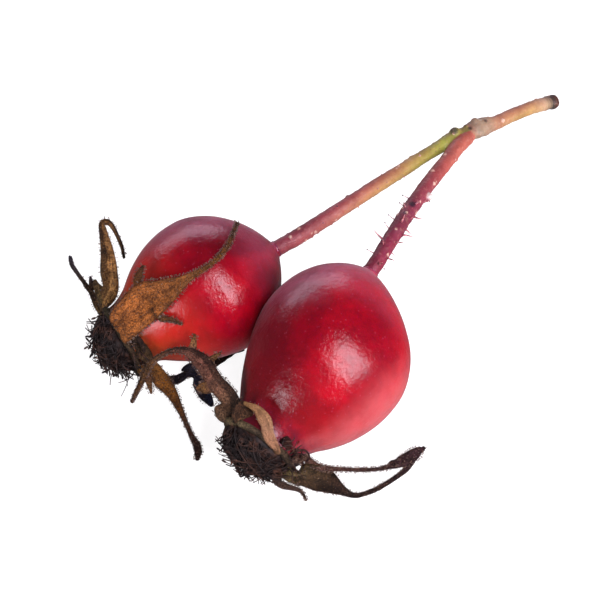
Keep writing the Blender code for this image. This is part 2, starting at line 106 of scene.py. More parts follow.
# Stem: x, y, z and radius along each of its lengths.
PEDUNCLE = (
    (23.25, 32.25, 0.72, 0.4), (23.15, 32.17, 0.76, 0.66), (22.9, 32.03, 0.86, 0.76),
    (22.65, 31.9, 0.96, 0.74), (22.5, 31.8, 1.02, 0.67), (22, 31.5, 1.28, 0.68), (20.6, 30.6, 2, 0.66),
    (18.4, 29, 3, 0.67), (16.9, 27.8, 3.7, 0.7), (16.1, 27.3, 4.05, 0.8), (15.6, 27, 4.25, 0.96),
    (15.2, 26.8, 4.4, 0.93), (14.9, 26.6, 4.5, 0.98), (14.2, 26, 4.75, 0.84), (13.6, 25, 5, 0.8))
PEDICELS = {
    "front": (
        (13.9, 25.4, 4.9, 0.8), (12.9, 23.9, 5.5, 0.76), (12, 22.3, 6, 0.73), (10.5, 19.75, 6.9, 0.74),
        (9.15, 17.4, 7.6, 0.74), (7.8, 14.95, 8.2, 0.75), (6.9, 13.2, 8.6, 0.75), (6.05, 11.6, 8.8, 0.76)),
    "rear": (
        (13.8, 25.7, 4.9, 0.76), (12.5, 25, 5.2, 0.72), (10.5, 23.3, 5.75, 0.63), (9.15, 22.15, 6.1, 0.65),
        (7.8, 20.95, 6.45, 0.67), (5.1, 18.7, 7.05, 0.7), (2.35, 16.4, 7.5, 0.71),
        (-0.4, 14.25, 7.7, 0.74), (-1.75, 13.25, 7.75, 0.75), (-3, 12.4, 7.65, 0.76)),
}
# A pedicel's last points: height over the hip's end, and radius.
LAST_BEND = (1.1, 0.75)
STEM_END = (0.1, 0.76)
SCARS = ((12.75, 25.45, 5.5, 0.64), (13.9, 26.2, 5.2, 0.45), (15.1, 26, 4.8, 0.52),
         (14.7, 26.95, 5.2, 0.42), (9.98, 17.1, 7.7, 0.36), (9.7, 16.75, 7.6, 0.24))
# Stained spots of the stem: place, radius and shade.
SPOTS = (((12.6, 25.45, 6.1), 0.52, "#565238"), ((12, 25.5, 6), 0.32, "#c8c4a0"),
         ((12.75, 26.2, 6.1), 0.3, "#a89878"), ((13.6, 26.5, 5.4), 0.35, "#7a6048"),
         ((14.2, 26, 5.5), 0.28, "#4a3c30"), ((15.75, 27.1, 5.1), 0.26, "#5a483a"),
         ((15.2, 27.2, 5.3), 0.3, "#b8a890"), ((14.5, 25.6, 5), 0.3, "#6a4c3c"),
         ((8.3, 15.7, 8.8), 0.42, "#3a1c2c"), ((10.05, 17.1, 7.8), 0.46, "#f0dcd4"),
         ((7.6, 14.6, 9.1), 0.3, "#4a2236"))
# Each length's shades from its start to its end, on the lit side and on the shaded side.
STEM_SHADES = {
    "peduncle": ("#633225 #342e2a #c4a388 #bc8a63 #b97f61 #b67a5e #b67e61 #a3886f #98826c #ae6a53",
                 "#633225 #342e2a #c4a37d #b6915a #ae8d53 #b1885a #b68665 #a3886f #98826c #ae6d53"),
    "front": ("#a45446 #ac584c #a04a46 #913a44 #7d2d41 #73283e #7d223c #80203a",
              "#b56352 #b96555 #ae544b #943f48 #823044 #7b2d41 #85283f #87253e"),
    "rear": ("#8c8242 #9a9942 #b09351 #b87a59 #a85751 #9a424a #8c3946 #903748",
             "#989942 #a4a442 #b0a44a #bf9c59 #bc8559 #b06b59 #a85655 #a04851"),
}
UNDERSIDE = Vector((0.35, -0.80, -0.45))
PALE_WART = "#e8c4b0"
# Bristles: count, shares of the pedicel from and to, and length.
BRISTLES = {"front": (26, (0.50, 0.96), 0.95), "rear": (14, (0.20, 0.90), 0.16)}
WARTS = {"front": 46, "rear": 64, "peduncle": 16}

# Sepals: turn of the root round the rim, clockwise from the top as seen from outside, root width, then x, y,
# z and width along the midrib. Roll bends a blade's edges down (positive) or up round the midrib, in
# degrees; twist turns it over its length. A lobe is its place along the midrib, its side, its reach and its
# width. Shades run from the root to the tip.
ROOT_SPAN = (-0.75, 0.55)
ROOT_LIFT = 0.45
FACING = Vector((0, -0.45, 0.9))
FACING_SPAN = 0.33
SEPALS = {
    "front": (
        {"turn": 306, "root": 3, "roll": 120, "twist": 40, "glands": 1, "shaded_half": 1, "path": (
            (-8.6, -5, 9.4, 2.1), (-9.8, -3.3, 9.9, 1.7), (-10.6, -1.8, 10, 1.7), (-11.5, -0.7, 9.8, 1.5),
            (-12.7, 0.1, 9.4, 0.8), (-14.1, 0.3, 8.8, 0.5), (-15.4, -0.1, 8, 0.6), (-16.2, -0.7, 7.2, 0.9),
            (-16.7, -1.6, 6.4, 0.7), (-17.6, -3.4, 5.7, 0.3)),
         "lobes": ((0.84, -1, (0.4, -1.5, -0.6), 0.6), (0.5, 1, (0.2, 1.3, 0.5), 0.6),
            (0.4, 1, (0.9, 0.5, 0.2), 0.5), (0.3, -1, (-1, -0.3, 0.2), 0.9)),
         "shades": "#5e4a38 #70503e #7c5246 #6e4a3e #825c3a #523824"},
        {"turn": 42, "lift": 0.7, "root": 0.5, "roll": 100, "twist": -50, "glands": 0.1, "felt": 0.35,
         "path": (
            (-5, -8.8, 10.3, 1.15), (-5.3, -7.95, 11.2, 1.3), (-6, -7, 11.7, 1), (-7.2, -6.2, 11.7, 0.3)),
         "shades": "#6a5034 #a0745a #b08468 #a47858 #8c6844"},
        {"turn": 76, "root": 1, "roll": 70, "twist": 15, "glands": 1.6, "path": (
            (-2.2, -9, 6.3, 0.8), (-0.4, -9.3, 4.6, 0.6), (1.8, -8.8, 3, 0.42), (4.1, -8.4, 2, 0.4),
            (5.9, -8, 1.7, 0.5), (7.3, -7.5, 2, 1.25), (8.3, -7.2, 2.8, 1.15), (8.9, -6.9, 3.4, 0.3)),
         "lobes": ((0.8, -1, (0.9, -0.2, 0.5), 0.5),),
         "shades": "#4c3a30 #5c4038 #48302c #30201f #3a242a"},
        {"turn": 118, "root": 2.6, "roll": -140, "twist": 0, "glands": 0.7, "path": (
            (-2, -9.2, 4.1, 3.2), (-0.8, -9.3, 3, 2.7), (0.4, -9.5, 1.85, 1.9), (1.6, -9.85, 0.9, 0.9),
            (2.9, -10.2, 0.4, 0.4), (4.7, -9.6, 0.4, 0.4), (6.5, -8.5, 0.5, 0.4), (7.7, -7.6, 0.9, 0.5),
            (8.5, -6.6, 1.3, 0.4), (9.3, -5.9, 1.7, 0.3)),
         # Painted shade: the near-black after the olive root stands for the shaded hollow of this
         # boat-shaped blade.
         "shades": "#7a6844 #40301f #281a14 #241612 #2a1a1c #33222a"},
        {"turn": 160, "root": 1.4, "roll": 80, "twist": 50, "glands": 1.4, "path": (
            (-4.1, -9.9, 2.4, 0.7), (-3.2, -9.9, 1.6, 0.6), (-2.5, -9.9, 1.1, 0.5), (-2, -10.1, 0.8, 0.4),
            (-1.6, -10.8, 0.5, 0.3)),
         "shades": "#5c4634 #4e3a30 #3a2a28"},
    ),
    "rear": (
        {"turn": 8, "root": 3.2, "roll": 75, "twist": 0, "glands": 1, "path": (
            (-16.4, 4, 11, 3.8), (-15.1, 4, 12.3, 3.1), (-13.7, 4.4, 13.2, 2), (-12.3, 5, 13.9, 0.9),
            (-10.7, 5.8, 14.4, 0.5), (-9.6, 6.8, 14.4, 0.5), (-8.7, 8.3, 14.1, 0.5),
            (-8.2, 10.1, 13.4, 0.4), (-7.9, 11.9, 12.2, 0.3)),
         "lobes": ((0.26, -1, (0.6, 1.7, 0.4), 0.7), (0.3, 1, (2.2, -0.4, -0.6), 0.45)),
         "shades": "#74492a #a8663a #965c34 #7a4c2c #66401f #5a3820 #4a2c18"},
        {"turn": 286, "root": 1.6, "roll": 100, "twist": 30, "glands": 0.5, "shaded_half": -1, "path": (
            (-19.7, 7.4, 7.6, 1.5), (-19.8, 8.8, 8.5, 1.6), (-19.9, 10.2, 9.4, 1.3),
            (-20.2, 11.5, 10.1, 0.9), (-20.4, 12.8, 10.3, 0.7), (-19.8, 13.2, 9.6, 0.5),
            (-19.1, 12.2, 8.9, 0.4), (-18.7, 11.3, 8.4, 0.4), (-18.5, 10.3, 8.1, 0.3)),
         "shades": "#8a6840 #a87c50 #9a7048 #705032 #3a2818"},
        {"turn": 246, "root": 1.4, "roll": 90, "twist": 50, "glands": 0.3, "path": (
            (-21.1, 7.7, 3.9, 0.9), (-21.8, 9.2, 3.6, 0.6), (-22.4, 10.1, 3.5, 0.5),
            (-23.1, 11.2, 3.5, 0.4), (-23.7, 12.2, 3.5, 0.4), (-23.9, 13.2, 3.5, 0.3)),
         "lobes": ((0.55, 1, (-0.2, 1.3, 0.1), 0.45),),
         "shades": "#80663f #6e563a #54463c #5c5666"},
        {"turn": 92, "root": 1.6, "roll": 60, "twist": 20, "glands": 1.6, "path": (
            (-15.9, 0.5, 5, 1.8), (-15.2, -0.1, 4.4, 1.7), (-14.5, -0.7, 3.7, 1.4), (-13.9, -1.3, 2.9, 1),
            (-13.4, -2.1, 2.2, 0.7), (-12.9, -3, 1.5, 0.5), (-12.3, -4.2, 0.8, 0.5),
            (-11.7, -5.3, 0.4, 0.8), (-11.6, -6, 0.4, 0.7), (-11.7, -6.7, 0.4, 0.3)),
         "shades": "#6a4c2c #7c5028 #74481f #5c381c #3e2418 #2c1c18"},
        {"turn": 140, "root": 1.4, "roll": 70, "twist": -40, "glands": 0.4, "path": (
            (-14.9, 0.9, 1.9, 1), (-13.7, 1.3, 1.1, 0.9), (-12.7, 2, 0.8, 0.8), (-11.8, 2, 0.5, 1.1),
            (-11.3, 0.7, 0.4, 1.7), (-10.8, -0.4, 0.4, 1.3), (-10.3, -1.1, 0.4, 0.4)),
         "lobes": ((0.6, -1, (2, 0.9, -0.1), 0.9), (0.28, 1, (0.7, 1.2, 0.6), 0.4)),
         # Painted shade: the dark bluish end, lying low on the floor, stands for the shade it lies in.
         "shades": "#6e5636 #5e482e #30303a #2c3244 #343c54"},
    ),
}
BLADE_STEP = 0.32
BLADE_COLUMNS = 10
FOLD = 0.30                 # height of a blade's crumples
RICHER = 1.12               # how much fuller a blade's colours are laid in
RUFFLE = (0.07, 1.3)        # height and waves per millimetre of a blade's ruffled edge
# Painted shade: one half of a blade, across its midrib, laid in darker as if that side of its fold were in
# shade.
SHADED_HALF = (0.1, 0.3)      # where a blade's dark side starts across it, and how dark it is

# Broken bits left on the rim, and one dark sheet of painted shade on the floor under the rear hip: points
# with widths, roll and shades.
SCRAPS_AND_SHADE = {
    "front": (
        (((-7.1, -7.1, 9.7, 2.2), (-7.3, -6.8, 10.4, 1.9), (-7.3, -6.3, 10.9, 1.3), (-7, -6, 11, 0.7)),
         150, "#4a3424 #4e3424 #3a261c"),
        (((-4.1, -9, 8.3, 1.5), (-3.5, -8.7, 8.7, 1.3), (-2.9, -8.6, 8.8, 1), (-2.3, -8.8, 8.6, 0.4)),
         70, "#33201a #3e1c1a #5a1410"),
        (((-3, -9.5, 7.3, 0.4), (-2.4, -9.2, 7.9, 0.3), (-1.7, -9.2, 7.9, 0.22), (-1.4, -9.5, 7.4, 0.18),
         (-1.7, -9.9, 7, 0.15)), 90, "#3a2620 #4a2c2a #4a2c2a"),
        (((-3.6, -9.6, 6.2, 0.9), (-2.9, -9.6, 6.6, 0.7), (-2.3, -9.5, 6.7, 0.5), (-1.9, -9.8, 6.3, 0.3)),
         120, "#5a4a34 #4a3228 #3a2420"),
    ),
    "rear": (
        (((-17.6, 1.7, 7, 1.9), (-16.9, 1.2, 7.4, 1.7), (-16.2, 0.5, 7, 1.3), (-15.8, -0.1, 6.2, 0.6)),
         130, "#4a3824 #54402a #4a3422"),
        (((-17.5, 2, 8, 0.9), (-16.9, 1.7, 8.3, 0.7), (-16.5, 1.2, 8.1, 0.5), (-16.4, 0.7, 7.6, 0.3)),
         120, "#33261c #2c1e18 #2c1e18"),
        # Painted shade: a dark sheet laid flat on the floor under the rear hip, standing for the hip's
        # shaded underside.
        (((-12, 2.9, 0.5, 1.4), (-10.3, 4, 0.5, 2.4), (-8.9, 4.7, 0.5, 2.3), (-7.4, 4.9, 0.5, 0.9)),
         20, "#2c2020 #33201a #3a241c"),
        (((-20, 6.6, 6.4, 1.4), (-20.6, 7.4, 7, 1.1), (-21, 8, 7.2, 0.7), (-21.2, 8.6, 7.2, 0.3)),
         120, "#5a4a30 #6a5638 #4a3a28"),
    ),
}
WISPS = {"front": (26, (35, 105)), "rear": (12, (40, 130))}      # count, and turns from and to

# The ring's shades, clockwise from the top as seen from outside.
RING_SHADES = {
    "front": "#4e4030 #3e3022 #3a2c20 #33261c #33261c #33261c #3a2a1e #4a3824 #5a4a32 #6a5a3e",
    "rear": "#3a3420 #3a2c1c #33261a #33261a #2c2018 #33261a #3e3220 #3a3420",
}

# Tufts of dried stamens.
CORE_INSET = 0.8
TUFT_REACH = {"front": ((0.8, 1.7), (1.8, 2.6)), "rear": ((1.1, 2.2), (2.3, 3.3))}
DRAPED = 360                # strands that lie over each tuft
HEART = (0.4, 2.2)          # the tuft's heart: past the core, and its height
DROOP = Vector((-0.22, -0.60, -0.42))
SWEEP = {"front": (0.42, Vector((-0.80, -0.50, -0.30))), "rear": (0.04, Vector((-0.35, -0.85, -0.3)))}

# The camera and lamps look at the middle of the sprig.
AIM = Vector((-2.195, 4.92, 9.95)) * MM
EYE = Vector((-2.195, -101.77, 210.61)) * MM
LENS = 150
DIMMED = 0.5
# Lamps: direction, distance, width and height in metres, and colour; dull lamps don't show in the skin.
LAMPS = {
    "key": (Vector((0.47, -0.44, 0.765)), 0.35, 0.17, 0.34, (0.95, 0.90, 1.0)),
    "side": (Vector((-0.737, -0.652, 0.22)), 0.30, 0.15, 0.17, (0.96, 0.93, 1.0)),
    "fill": (Vector((0.85, -0.35, 0.22)), 0.35, 0.30, 0.20, (1.0, 0.97, 0.97)),
    "back": (Vector((-0.30, 0.92, 0.15)), 0.35, 0.42, 0.12, (1.0, 0.80, 0.95)),
}
DULL_LAMPS = ("fill",)


def paints(codes):
    """Colours in linear light from hexadecimal codes, laid in darker because the lamps are strong."""
    colours = []
    for code in codes.split():
        parts = [int(code[i:i + 2], 16) / 255 for i in (1, 3, 5)]
        light = [p / 12.92 if p <= 0.04045 else ((p + 0.055) / 1.055) ** 2.4 for p in parts]
        colours.append(Vector([DIMMED * part for part in light] + [1.0]))
    return colours


def held(share):
    return min(1.0, max(0.0, share))


def bell(away, wide):
    return math.exp(-(away / wide) ** 2)


def between(stops, share):
    """The colour at a share of the way through evenly spread stops."""
    place = held(share) * (len(stops) - 1)
    low = min(int(place), len(stops) - 2)
    return stops[low].lerp(stops[low + 1], place - low)


def stray(rng, wide):
    return Vector([rng.uniform(-wide, wide) for _ in range(3)])


# Curves and hips: the same forms as the solids have

def through(points, step):
    """The Catmull-Rom curve through the points, sampled about every step; each point ends in its width."""
    knots = [Vector(p) for p in points]
    knots = [2 * knots[0] - knots[1]] + knots + [2 * knots[-1] - knots[-2]]
    curve = []
    for a, b, c, d in zip(knots, knots[1:], knots[2:], knots[3:]):
        count = max(1, round((c - b).to_3d().length / step))
        for i in range(count):
            t = i / count
            curve.append(0.5 * (2 * b + (c - a) * t + (2 * a - 5 * b + 4 * c - d) * t * t
                                + (3 * b - a - 3 * c + d) * t ** 3))
    curve.append(knots[-2])
    return curve


def tangents(curve):
    ends = [curve[0]] + list(curve) + [curve[-1]]
    return [(b - a).to_3d().normalized() for a, b in zip(ends, ends[2:])]


def frame_of(x, y, z, place):
    """Matrix with these three axes at a place."""
    frame = Matrix((x, y, z)).transposed().to_4x4()
    frame.translation = place
    return frame


def hip_frame(hip):
    """Matrix of a hip: Z along its axis to the stem, X to the side that swells, at its middle."""
    heading, rise, turn = (math.radians(hip[k]) for k in ("heading", "rise", "swell_turn"))
    axis = Vector((math.cos(heading) * math.cos(rise), math.sin(heading) * math.cos(rise), math.sin(rise)))
    right = Vector((math.sin(heading), -math.cos(heading), 0))
    side = right * math.cos(turn) + right.cross(axis) * math.sin(turn)
    return frame_of(side, axis.cross(side), axis, Vector(hip["middle"]))


def hip_radius(share, hip):
    """Radius as a share of the largest, at a share of the length from the stem end to the calyx."""
    if share < hip["fullest"]:
        inner, outer = HIP_SHOULDER
        return max(0.0, 1 - (1 - share / hip["fullest"]) ** inner) ** outer
    along = min(1.0, (share - hip["fullest"]) / (1 - hip["fullest"]) / HIP_NECK)
    return hip["rim"] + (1 - hip["rim"]) * (1 - along * along)


def hip_swell(share, hip):
    """Sideways bend of the axis at a share of the length."""
    return hip["swell"] * math.sin(math.pi * held(share) ** SWELL_SKEW)


def keep_off(place, hip, gap):
    """The place, moved straight out from a hip's axis where it is nearer than the gap to its skin."""
    frame = hip_frame(hip)
    local = frame.inverted() @ place
    share = 0.5 - local.z / hip["length"]
    if not 0 < share < 1:
        return place
    swell = hip_swell(share, hip)
    spoke = Vector((local.x - swell, local.y))
    near = hip["diameter"] / 2 * hip_radius(share, hip) + gap
    if spoke.length >= near:
        return place
    spoke *= near / spoke.length
    return frame @ Vector((spoke.x + swell, spoke.y, local.z))


def calyx_frame(hip):
    """Middle of the calyx end and its outward, right and upward directions."""
    frame = hip_frame(hip)
    out = -frame.col[2].to_3d()
    heading = math.radians(hip["heading"])
    right = Vector((math.sin(heading), -math.cos(heading), 0))
    return frame.translation + out * hip["length"] / 2, out, right, out.cross(right)


def rim_spoke(hip, turn):
    """Direction across the calyx end, turned clockwise from the top as seen from outside."""
    _, _, right, up = calyx_frame(hip)
    return up * math.cos(math.radians(turn)) + right * math.sin(math.radians(turn))


def rim_radius(hip):
    return hip["rim"] * hip["diameter"] / 2


# Finished pieces

def in_scene(name, data):
    obj = bpy.data.objects.new(name, data)
    bpy.context.scene.collection.objects.link(obj)
    return obj


def into_mesh(bm, name):
    mesh = bpy.data.meshes.new(name)
    bm.to_mesh(mesh)
    bm.free()
    return mesh


def finish_piece(bm, name, material, slot, *nodes):
    """The bmesh, in millimetres, as an object that rides on the sprig and stands for its CAD nodes."""
    for vert in bm.verts:
        vert.co.z = max(vert.co.z, 0.0)
    bmesh.ops.scale(bm, vec=(MM, MM, MM), verts=bm.verts)
    bmesh.ops.recalc_face_normals(bm, faces=bm.faces)
    mesh = into_mesh(bm, name)
    mesh.shade_smooth()
    mesh.materials.append(material)
    obj = in_scene(name, mesh)
    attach(obj, "root")
    if nodes:
        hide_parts(*nodes)
    return obj


def final_form(obj):
    """The object's mesh with its modifiers applied, as a bmesh; the object is removed."""
    bpy.context.view_layer.update()
    graph = bpy.context.evaluated_depsgraph_get()
    mesh = bpy.data.meshes.new_from_object(obj.evaluated_get(graph))
    bpy.data.objects.remove(obj, do_unlink=True)
    bm = bmesh.new()
    bm.from_mesh(mesh)
    return bm


def soften(obj):
    smooth = obj.modifiers.new("soften", "SUBSURF")
    smooth.levels = smooth.render_levels = 1


def threads(name, lines, sides):
    """Round closed threads; each line is a list of x, y, z and radius."""
    curve = bpy.data.curves.new(name, "CURVE")
    curve.dimensions = "3D"
    curve.bevel_mode = "ROUND"
    curve.bevel_depth = 1
    curve.bevel_resolution = sides // 2 - 2
    curve.use_fill_caps = True
    for line in lines:
        spline = curve.splines.new("POLY")
        spline.points.add(len(line) - 1)
        for point, place in zip(spline.points, line):
            point.co = (*place[:3], 1.0)
            point.radius = place[3]
    return final_form(in_scene(name, curve))


def ball(bm, fineness, radius, matrix):
    return bmesh.ops.create_icosphere(bm, subdivisions=fineness, radius=radius, matrix=matrix)["verts"]


def upright(place, direction):
    """Matrix that stands a shape made along Z at the place, along the direction."""
    return Matrix.Translation(place) @ direction.to_track_quat("Z", "Y").to_matrix().to_4x4()


# Material nodes

def new_material(name):
    material = bpy.data.materials.new(name)
    material.use_nodes = True
    return material, material.node_tree, material.node_tree.nodes["Principled BSDF"]


def feed(target, sockets):
    """Links each input of a node to the output that feeds it, or sets it to its value."""
    for key, value in sockets.items():
        if isinstance(value, bpy.types.NodeSocket):
            target.id_data.links.new(value, target.inputs[key])
        else:
            target.inputs[key].default_value = value


def node(tree, kind, sockets, **settings):
    """A new node; a socket's id_data gives the tree for the node that it feeds."""
    new = tree.nodes.new("ShaderNode" + kind)
    for key, value in settings.items():
        setattr(new, key, value)
    feed(new, sockets)
    return new


def coordinates(tree, turn=(0, 0, 0), stretch=(1, 1, 1)):
    """Object coordinates, turned and stretched."""
    source = node(tree, "TexCoord", {}).outputs["Object"]
    return node(tree, "Mapping", {"Vector": source, "Rotation": turn, "Scale": stretch}).outputs[0]


def speckle(where, scale, detail=3, roughness=0.55):
    sockets = {"Vector": where, "Scale": scale, "Detail": detail, "Roughness": roughness}
    return node(where.id_data, "TexNoise", sockets).outputs["Fac"]


def cells(where, scale):
    return node(where.id_data, "TexVoronoi", {"Vector": where, "Scale": scale}).outputs["Distance"]


def span(value, low, high, to_low=0, to_high=1):
    """The value's range from low to high, spread over another range and held at its ends."""
    sockets = {"Value": value, "From Min": low, "From Max": high, "To Min": to_low, "To Max": to_high}
    return node(value.id_data, "MapRange", sockets, interpolation_type="SMOOTHSTEP").outputs[0]


def mixed(share, first, second, mode="MIX"):
    sockets = {0: share, 6: first, 7: second}
    return node(share.id_data, "Mix", sockets, data_type="RGBA", blend_type=mode).outputs[2]


def layered(colour, *layers):
    """The colour with others laid over it, each as far as its share says."""
    for share, tone in layers:
        colour = mixed(share, colour, tone)
    return colour


def times(a, b):
    return node(a.id_data, "Math", {0: a, 1: b}, operation="MULTIPLY").outputs[0]


def relief(height, distance, under=None):
    sockets = {"Height": height, "Distance": distance}
    if under:
        sockets["Normal"] = under
    return node(height.id_data, "Bump", sockets).outputs[0]


def attribute(tree, name, output="Fac"):
    return node(tree, "Attribute", {}, attribute_name=name).outputs[output]


def hip_skin(which, looks):
    """Waxy crimson skin: painted shade on one side, mauve wax and a painted sheen on the upper side, a
    painted pink reflection on the front hip's lower right, orange partly painted as bounce light, streaks
    along the hip, pores and fine wrinkles.
    """
    material, tree, shader = new_material(f"hip skin {which}")
    hip_turn = hip_frame(HIPS[which]).to_3x3().inverted().to_euler()
    flat = coordinates(tree)
    drawn = coordinates(tree, turn=hip_turn, stretch=(1, 1, 0.22))
    along, unripe, bloom, ripe, flush = [
        attribute(tree, name) for name in ("along", "unripe", "bloom", "ripe", "flush")]
    cloud = speckle(flat, 190, 4)
    streaks = speckle(drawn, 1100, 5, 0.6)
    pale = speckle(flat, 420, 5, 0.65)
    # Painted shade: the shadowed share darkens one side of each hip towards the deep crimson.
    share = node(tree, "Math", {0: span(cloud, 0.34, 0.66, -0.05, 0.65), 1: ripe}, operation="ADD")
    colour = layered(
        mixed(share.outputs[0], looks.bright, looks.deep),
        (span(streaks, 0.42, 0.72, 0, 0.4), looks.deep),
        # Wax near the stem, with a painted sheen on the upper side.
        (times(bloom, span(pale, 0.3, 0.65, 0.5, 1)), looks.bloom),
        # Orange at the calyx end, partly painted bounce light from the floor on faces turned down.
        (times(unripe, span(cloud, 0.3, 0.6, 0.55, 1)), looks.unripe),
        # Painted reflection: pink on the front hip's lower right.
        (times(flush, span(pale, 0.25, 0.6, 0.6, 1)), looks.flush),
        (times(span(along, 0.84, 0.96), span(streaks, 0.35, 0.6, 0.55, 1)),
         looks.neck if which == "rear" else looks.front_neck),
        (span(cells(flat, 1700), 0.05, 0.20, 0.16, 0), looks.bloom),
        (span(along, -0.012, 0.006, 1, 0), looks.collar))
    swells = relief(speckle(drawn, 900, 3), 0.00008)
    wrinkles = relief(speckle(flat, 2600, 5, 0.62), 0.000042, swells)
    feed(shader, {
        "Base Color": colour, "Normal": wrinkles, "Coat Normal": wrinkles,
        "Roughness": span(speckle(flat, 700, 4), 0.3, 0.7, 0.34, 0.48), "Specular IOR Level": 0.03,
        "Subsurface Weight": 0.2, "Subsurface Radius": (1, 0.05, 0.03), "Subsurface Scale": 0.0014,
        "Coat Weight": 0.72, "Coat IOR": 1.36, "Coat Roughness": 0.19,
        "Sheen Weight": 0.075, "Sheen Roughness": 0.35, "Sheen Tint": (1, 0.74, 0.80, 1)})
    return material


def stem_bark(looks):
    """Satin bark: its own stain, freckles, pale warts and fine streaks."""
    material, tree, shader = new_material("stem bark")
    flat = coordinates(tree)
    blotch = speckle(flat, 480, 5, 0.65)
    fine = speckle(flat, 2400, 4, 0.6)
    stain = attribute(tree, "stain", "Color")
    colour = layered(
        mixed(span(blotch, 0.35, 0.7, 0, 0.55), stain, looks.blotch, "MULTIPLY"),
        (span(cells(flat, 1500), 0.04, 0.20, 0.45, 0), looks.freckle),
        (span(fine, 0.52, 0.78, 0, 0.25), looks.pale))
    feed(shader, {
        "Base Color": colour, "Normal": relief(fine, 0.00008),
        "Roughness": span(blotch, 0.3, 0.7, 0.42, 0.62), "Specular IOR Level": 0.25, "Sheen Weight": 0.03,
        "Subsurface Weight": 0.12, "Subsurface Radius": (1, 0.4, 0.2), "Subsurface Scale": 0.0006})
    return material


def dry_sepal(looks):
    """Dry, felted blade: its own stain with painted shade on one half of some blades, darker edges, faint
    veins along it, felt and pale grains.
    """
    material, tree, shader = new_material("dry sepal")
    flat = coordinates(tree)
    felted, across, down = [attribute(tree, name) for name in ("felted", "across", "down")]
    blade = node(tree, "CombineXYZ", {0: across, 1: times(down, 0.12)}).outputs[0]
    veins = speckle(blade, 5.5, 4, 0.6)
    felt = speckle(flat, 6500, 3, 0.8)
    cloud = speckle(flat, 850, 5, 0.65)
    veined = times(felted, span(veins, 0.36, 0.56, 0.5, 0))
    colour = mixed(veined, attribute(tree, "stain", "Color"), looks.vein)
    for grey in (span(cloud, 0.34, 0.62, 0.55, 1.4), span(felt, 0.36, 0.66, 0.30, 1.75)):
        shade = node(tree, "CombineColor", {0: grey, 1: grey, 2: grey}).outputs[0]
        colour = mixed(felted, colour, shade, "MULTIPLY")
    grains = span(cells(flat, 5200), 0.08, 0.16, 0.4, 0)
    crumple = relief(cloud, 0.0006, relief(veins, 0.00012))
    feed(shader, {
        "Base Color": mixed(times(felted, grains), colour, looks.felt),
        "Normal": relief(felt, 0.00018, crumple), "Roughness": 0.8, "Specular IOR Level": 0.12})
    return material


def gland_skin(looks):
    """Dried glands: brown stalks and resin heads, some of them pale."""
    material, tree, shader = new_material("dry gland")
    grain = span(speckle(coordinates(tree), 3000), 0.4, 0.7, 0, 0.5)
    colour = mixed(attribute(tree, "pale"), looks.gland, looks.gland_tip)
    feed(shader, {"Base Color": mixed(grain, colour, looks.vein), "Roughness": 0.45})
    return material


def stamen_skin(looks):
    """Dried filaments, near black with browner ones among them."""
    material, tree, shader = new_material("dry stamens")
    flat = coordinates(tree)
    grain = speckle(flat, 5200, 3)
    colour = mixed(span(speckle(flat, 900, 4), 0.45, 0.70), looks.dark, looks.brown)
    feed(shader, {
        "Base Color": mixed(span(grain, 0.35, 0.6, 0.4, 0), colour, looks.dark),
        "Normal": relief(grain, 0.00003), "Roughness": 0.6, "Specular IOR Level": 0.2})
    return material


def bristle_skin(looks):
    """Bristles: the stem's red at the root, pale along the shaft, dark at the gland."""
    material, tree, shader = new_material("bristle")
    tip = attribute(tree, "tip")
    grain = speckle(coordinates(tree), 3000)
    colour = layered(
        mixed(span(tip, 0, 0.6), looks.bristle_root, looks.bristle),
        (span(tip, 0.9, 1), looks.bristle_gland),
        (span(grain, 0.4, 0.7, 0, 0.3), looks.bristle_root))
    feed(shader, {
        "Base Color": colour, "Roughness": 0.45, "Subsurface Weight": 0.2, "Subsurface Scale": 0.0003})
    return material


# Hips

def hip_outline(hip):
    """Points (radius, height) from the stem end down the outer side to the middle of the calyx end."""
    length, radius, rim = hip["length"], hip["diameter"] / 2, rim_radius(hip)
    high, wide = COLLAR
    lip, fall = LIP
    top, end = length / 2, -length / 2
    points = [(0, top + high), (wide * 0.85, top + high), (wide, top + high * 0.7), (wide, top + high * 0.3)]
    for row in range(1, HIP_ROWS + 1):
        share = 0.5 - 0.5 * math.cos(math.pi * row / HIP_ROWS)
        height = length * (0.5 - share)
        spread = FILLET * held((share - 0.75) / 0.15)
        skin = radius * sum(hip_radius(share + spread * k / 4, hip) for k in range(-4, 5)) / 9
        collar = wide * bell(top - height, 0.7)
        points.append(((skin ** 3 + collar ** 3) ** (1 / 3) + lip * bell(height - end, fall), height))
    points += [(rim + lip * 0.6, end - 0.14), (rim - 0.1, end - 0.22), (rim - 0.5, end - 0.12), (0, end)]
    return points


def spun(bm, points, steps, closed=False):
    """Spins a line of (radius, height) points round Z."""
    line = [bm.verts.new((radius, 0, height)) for radius, height in points]
    ends = line[1:] + line[:1] if closed else line[1:]
    edges = [bm.edges.new(pair) for pair in zip(line, ends)]
    bmesh.ops.spin(bm, geom=line + edges, cent=(0, 0, 0), axis=(0, 0, 1), angle=math.tau, steps=steps,
                   use_merge=True)
    bmesh.ops.remove_doubles(bm, verts=bm.verts, dist=0.0001)


def turned_hip(hip, sides):
    """The hip's outline spun round its axis, bent and softly uneven, in the hip's own frame."""
    bm = bmesh.new()
    along = bm.verts.layers.float.new("along")
    spun(bm, hip_outline(hip), sides)
    for vert in bm.verts:
        share = 0.5 - vert.co.z / hip["length"]
        vert[along] = share
        turn = math.atan2(vert.co.y, vert.co.x)
        pleats = 0.05 * held((share - 0.80) / 0.16) * math.sin(11 * turn + 2 * math.sin(2 * turn))
        uneven = 0.10 * noise.noise(vert.co * 0.16) + 0.025 * noise.noise(vert.co * 0.6)
        spoke = Vector((vert.co.x, vert.co.y, 0))
        if spoke.length > 0.01:
            vert.co += spoke.normalized() * (pleats + uneven * held(share / 0.15))
        vert.co.x += hip_swell(share, hip)
    return bm


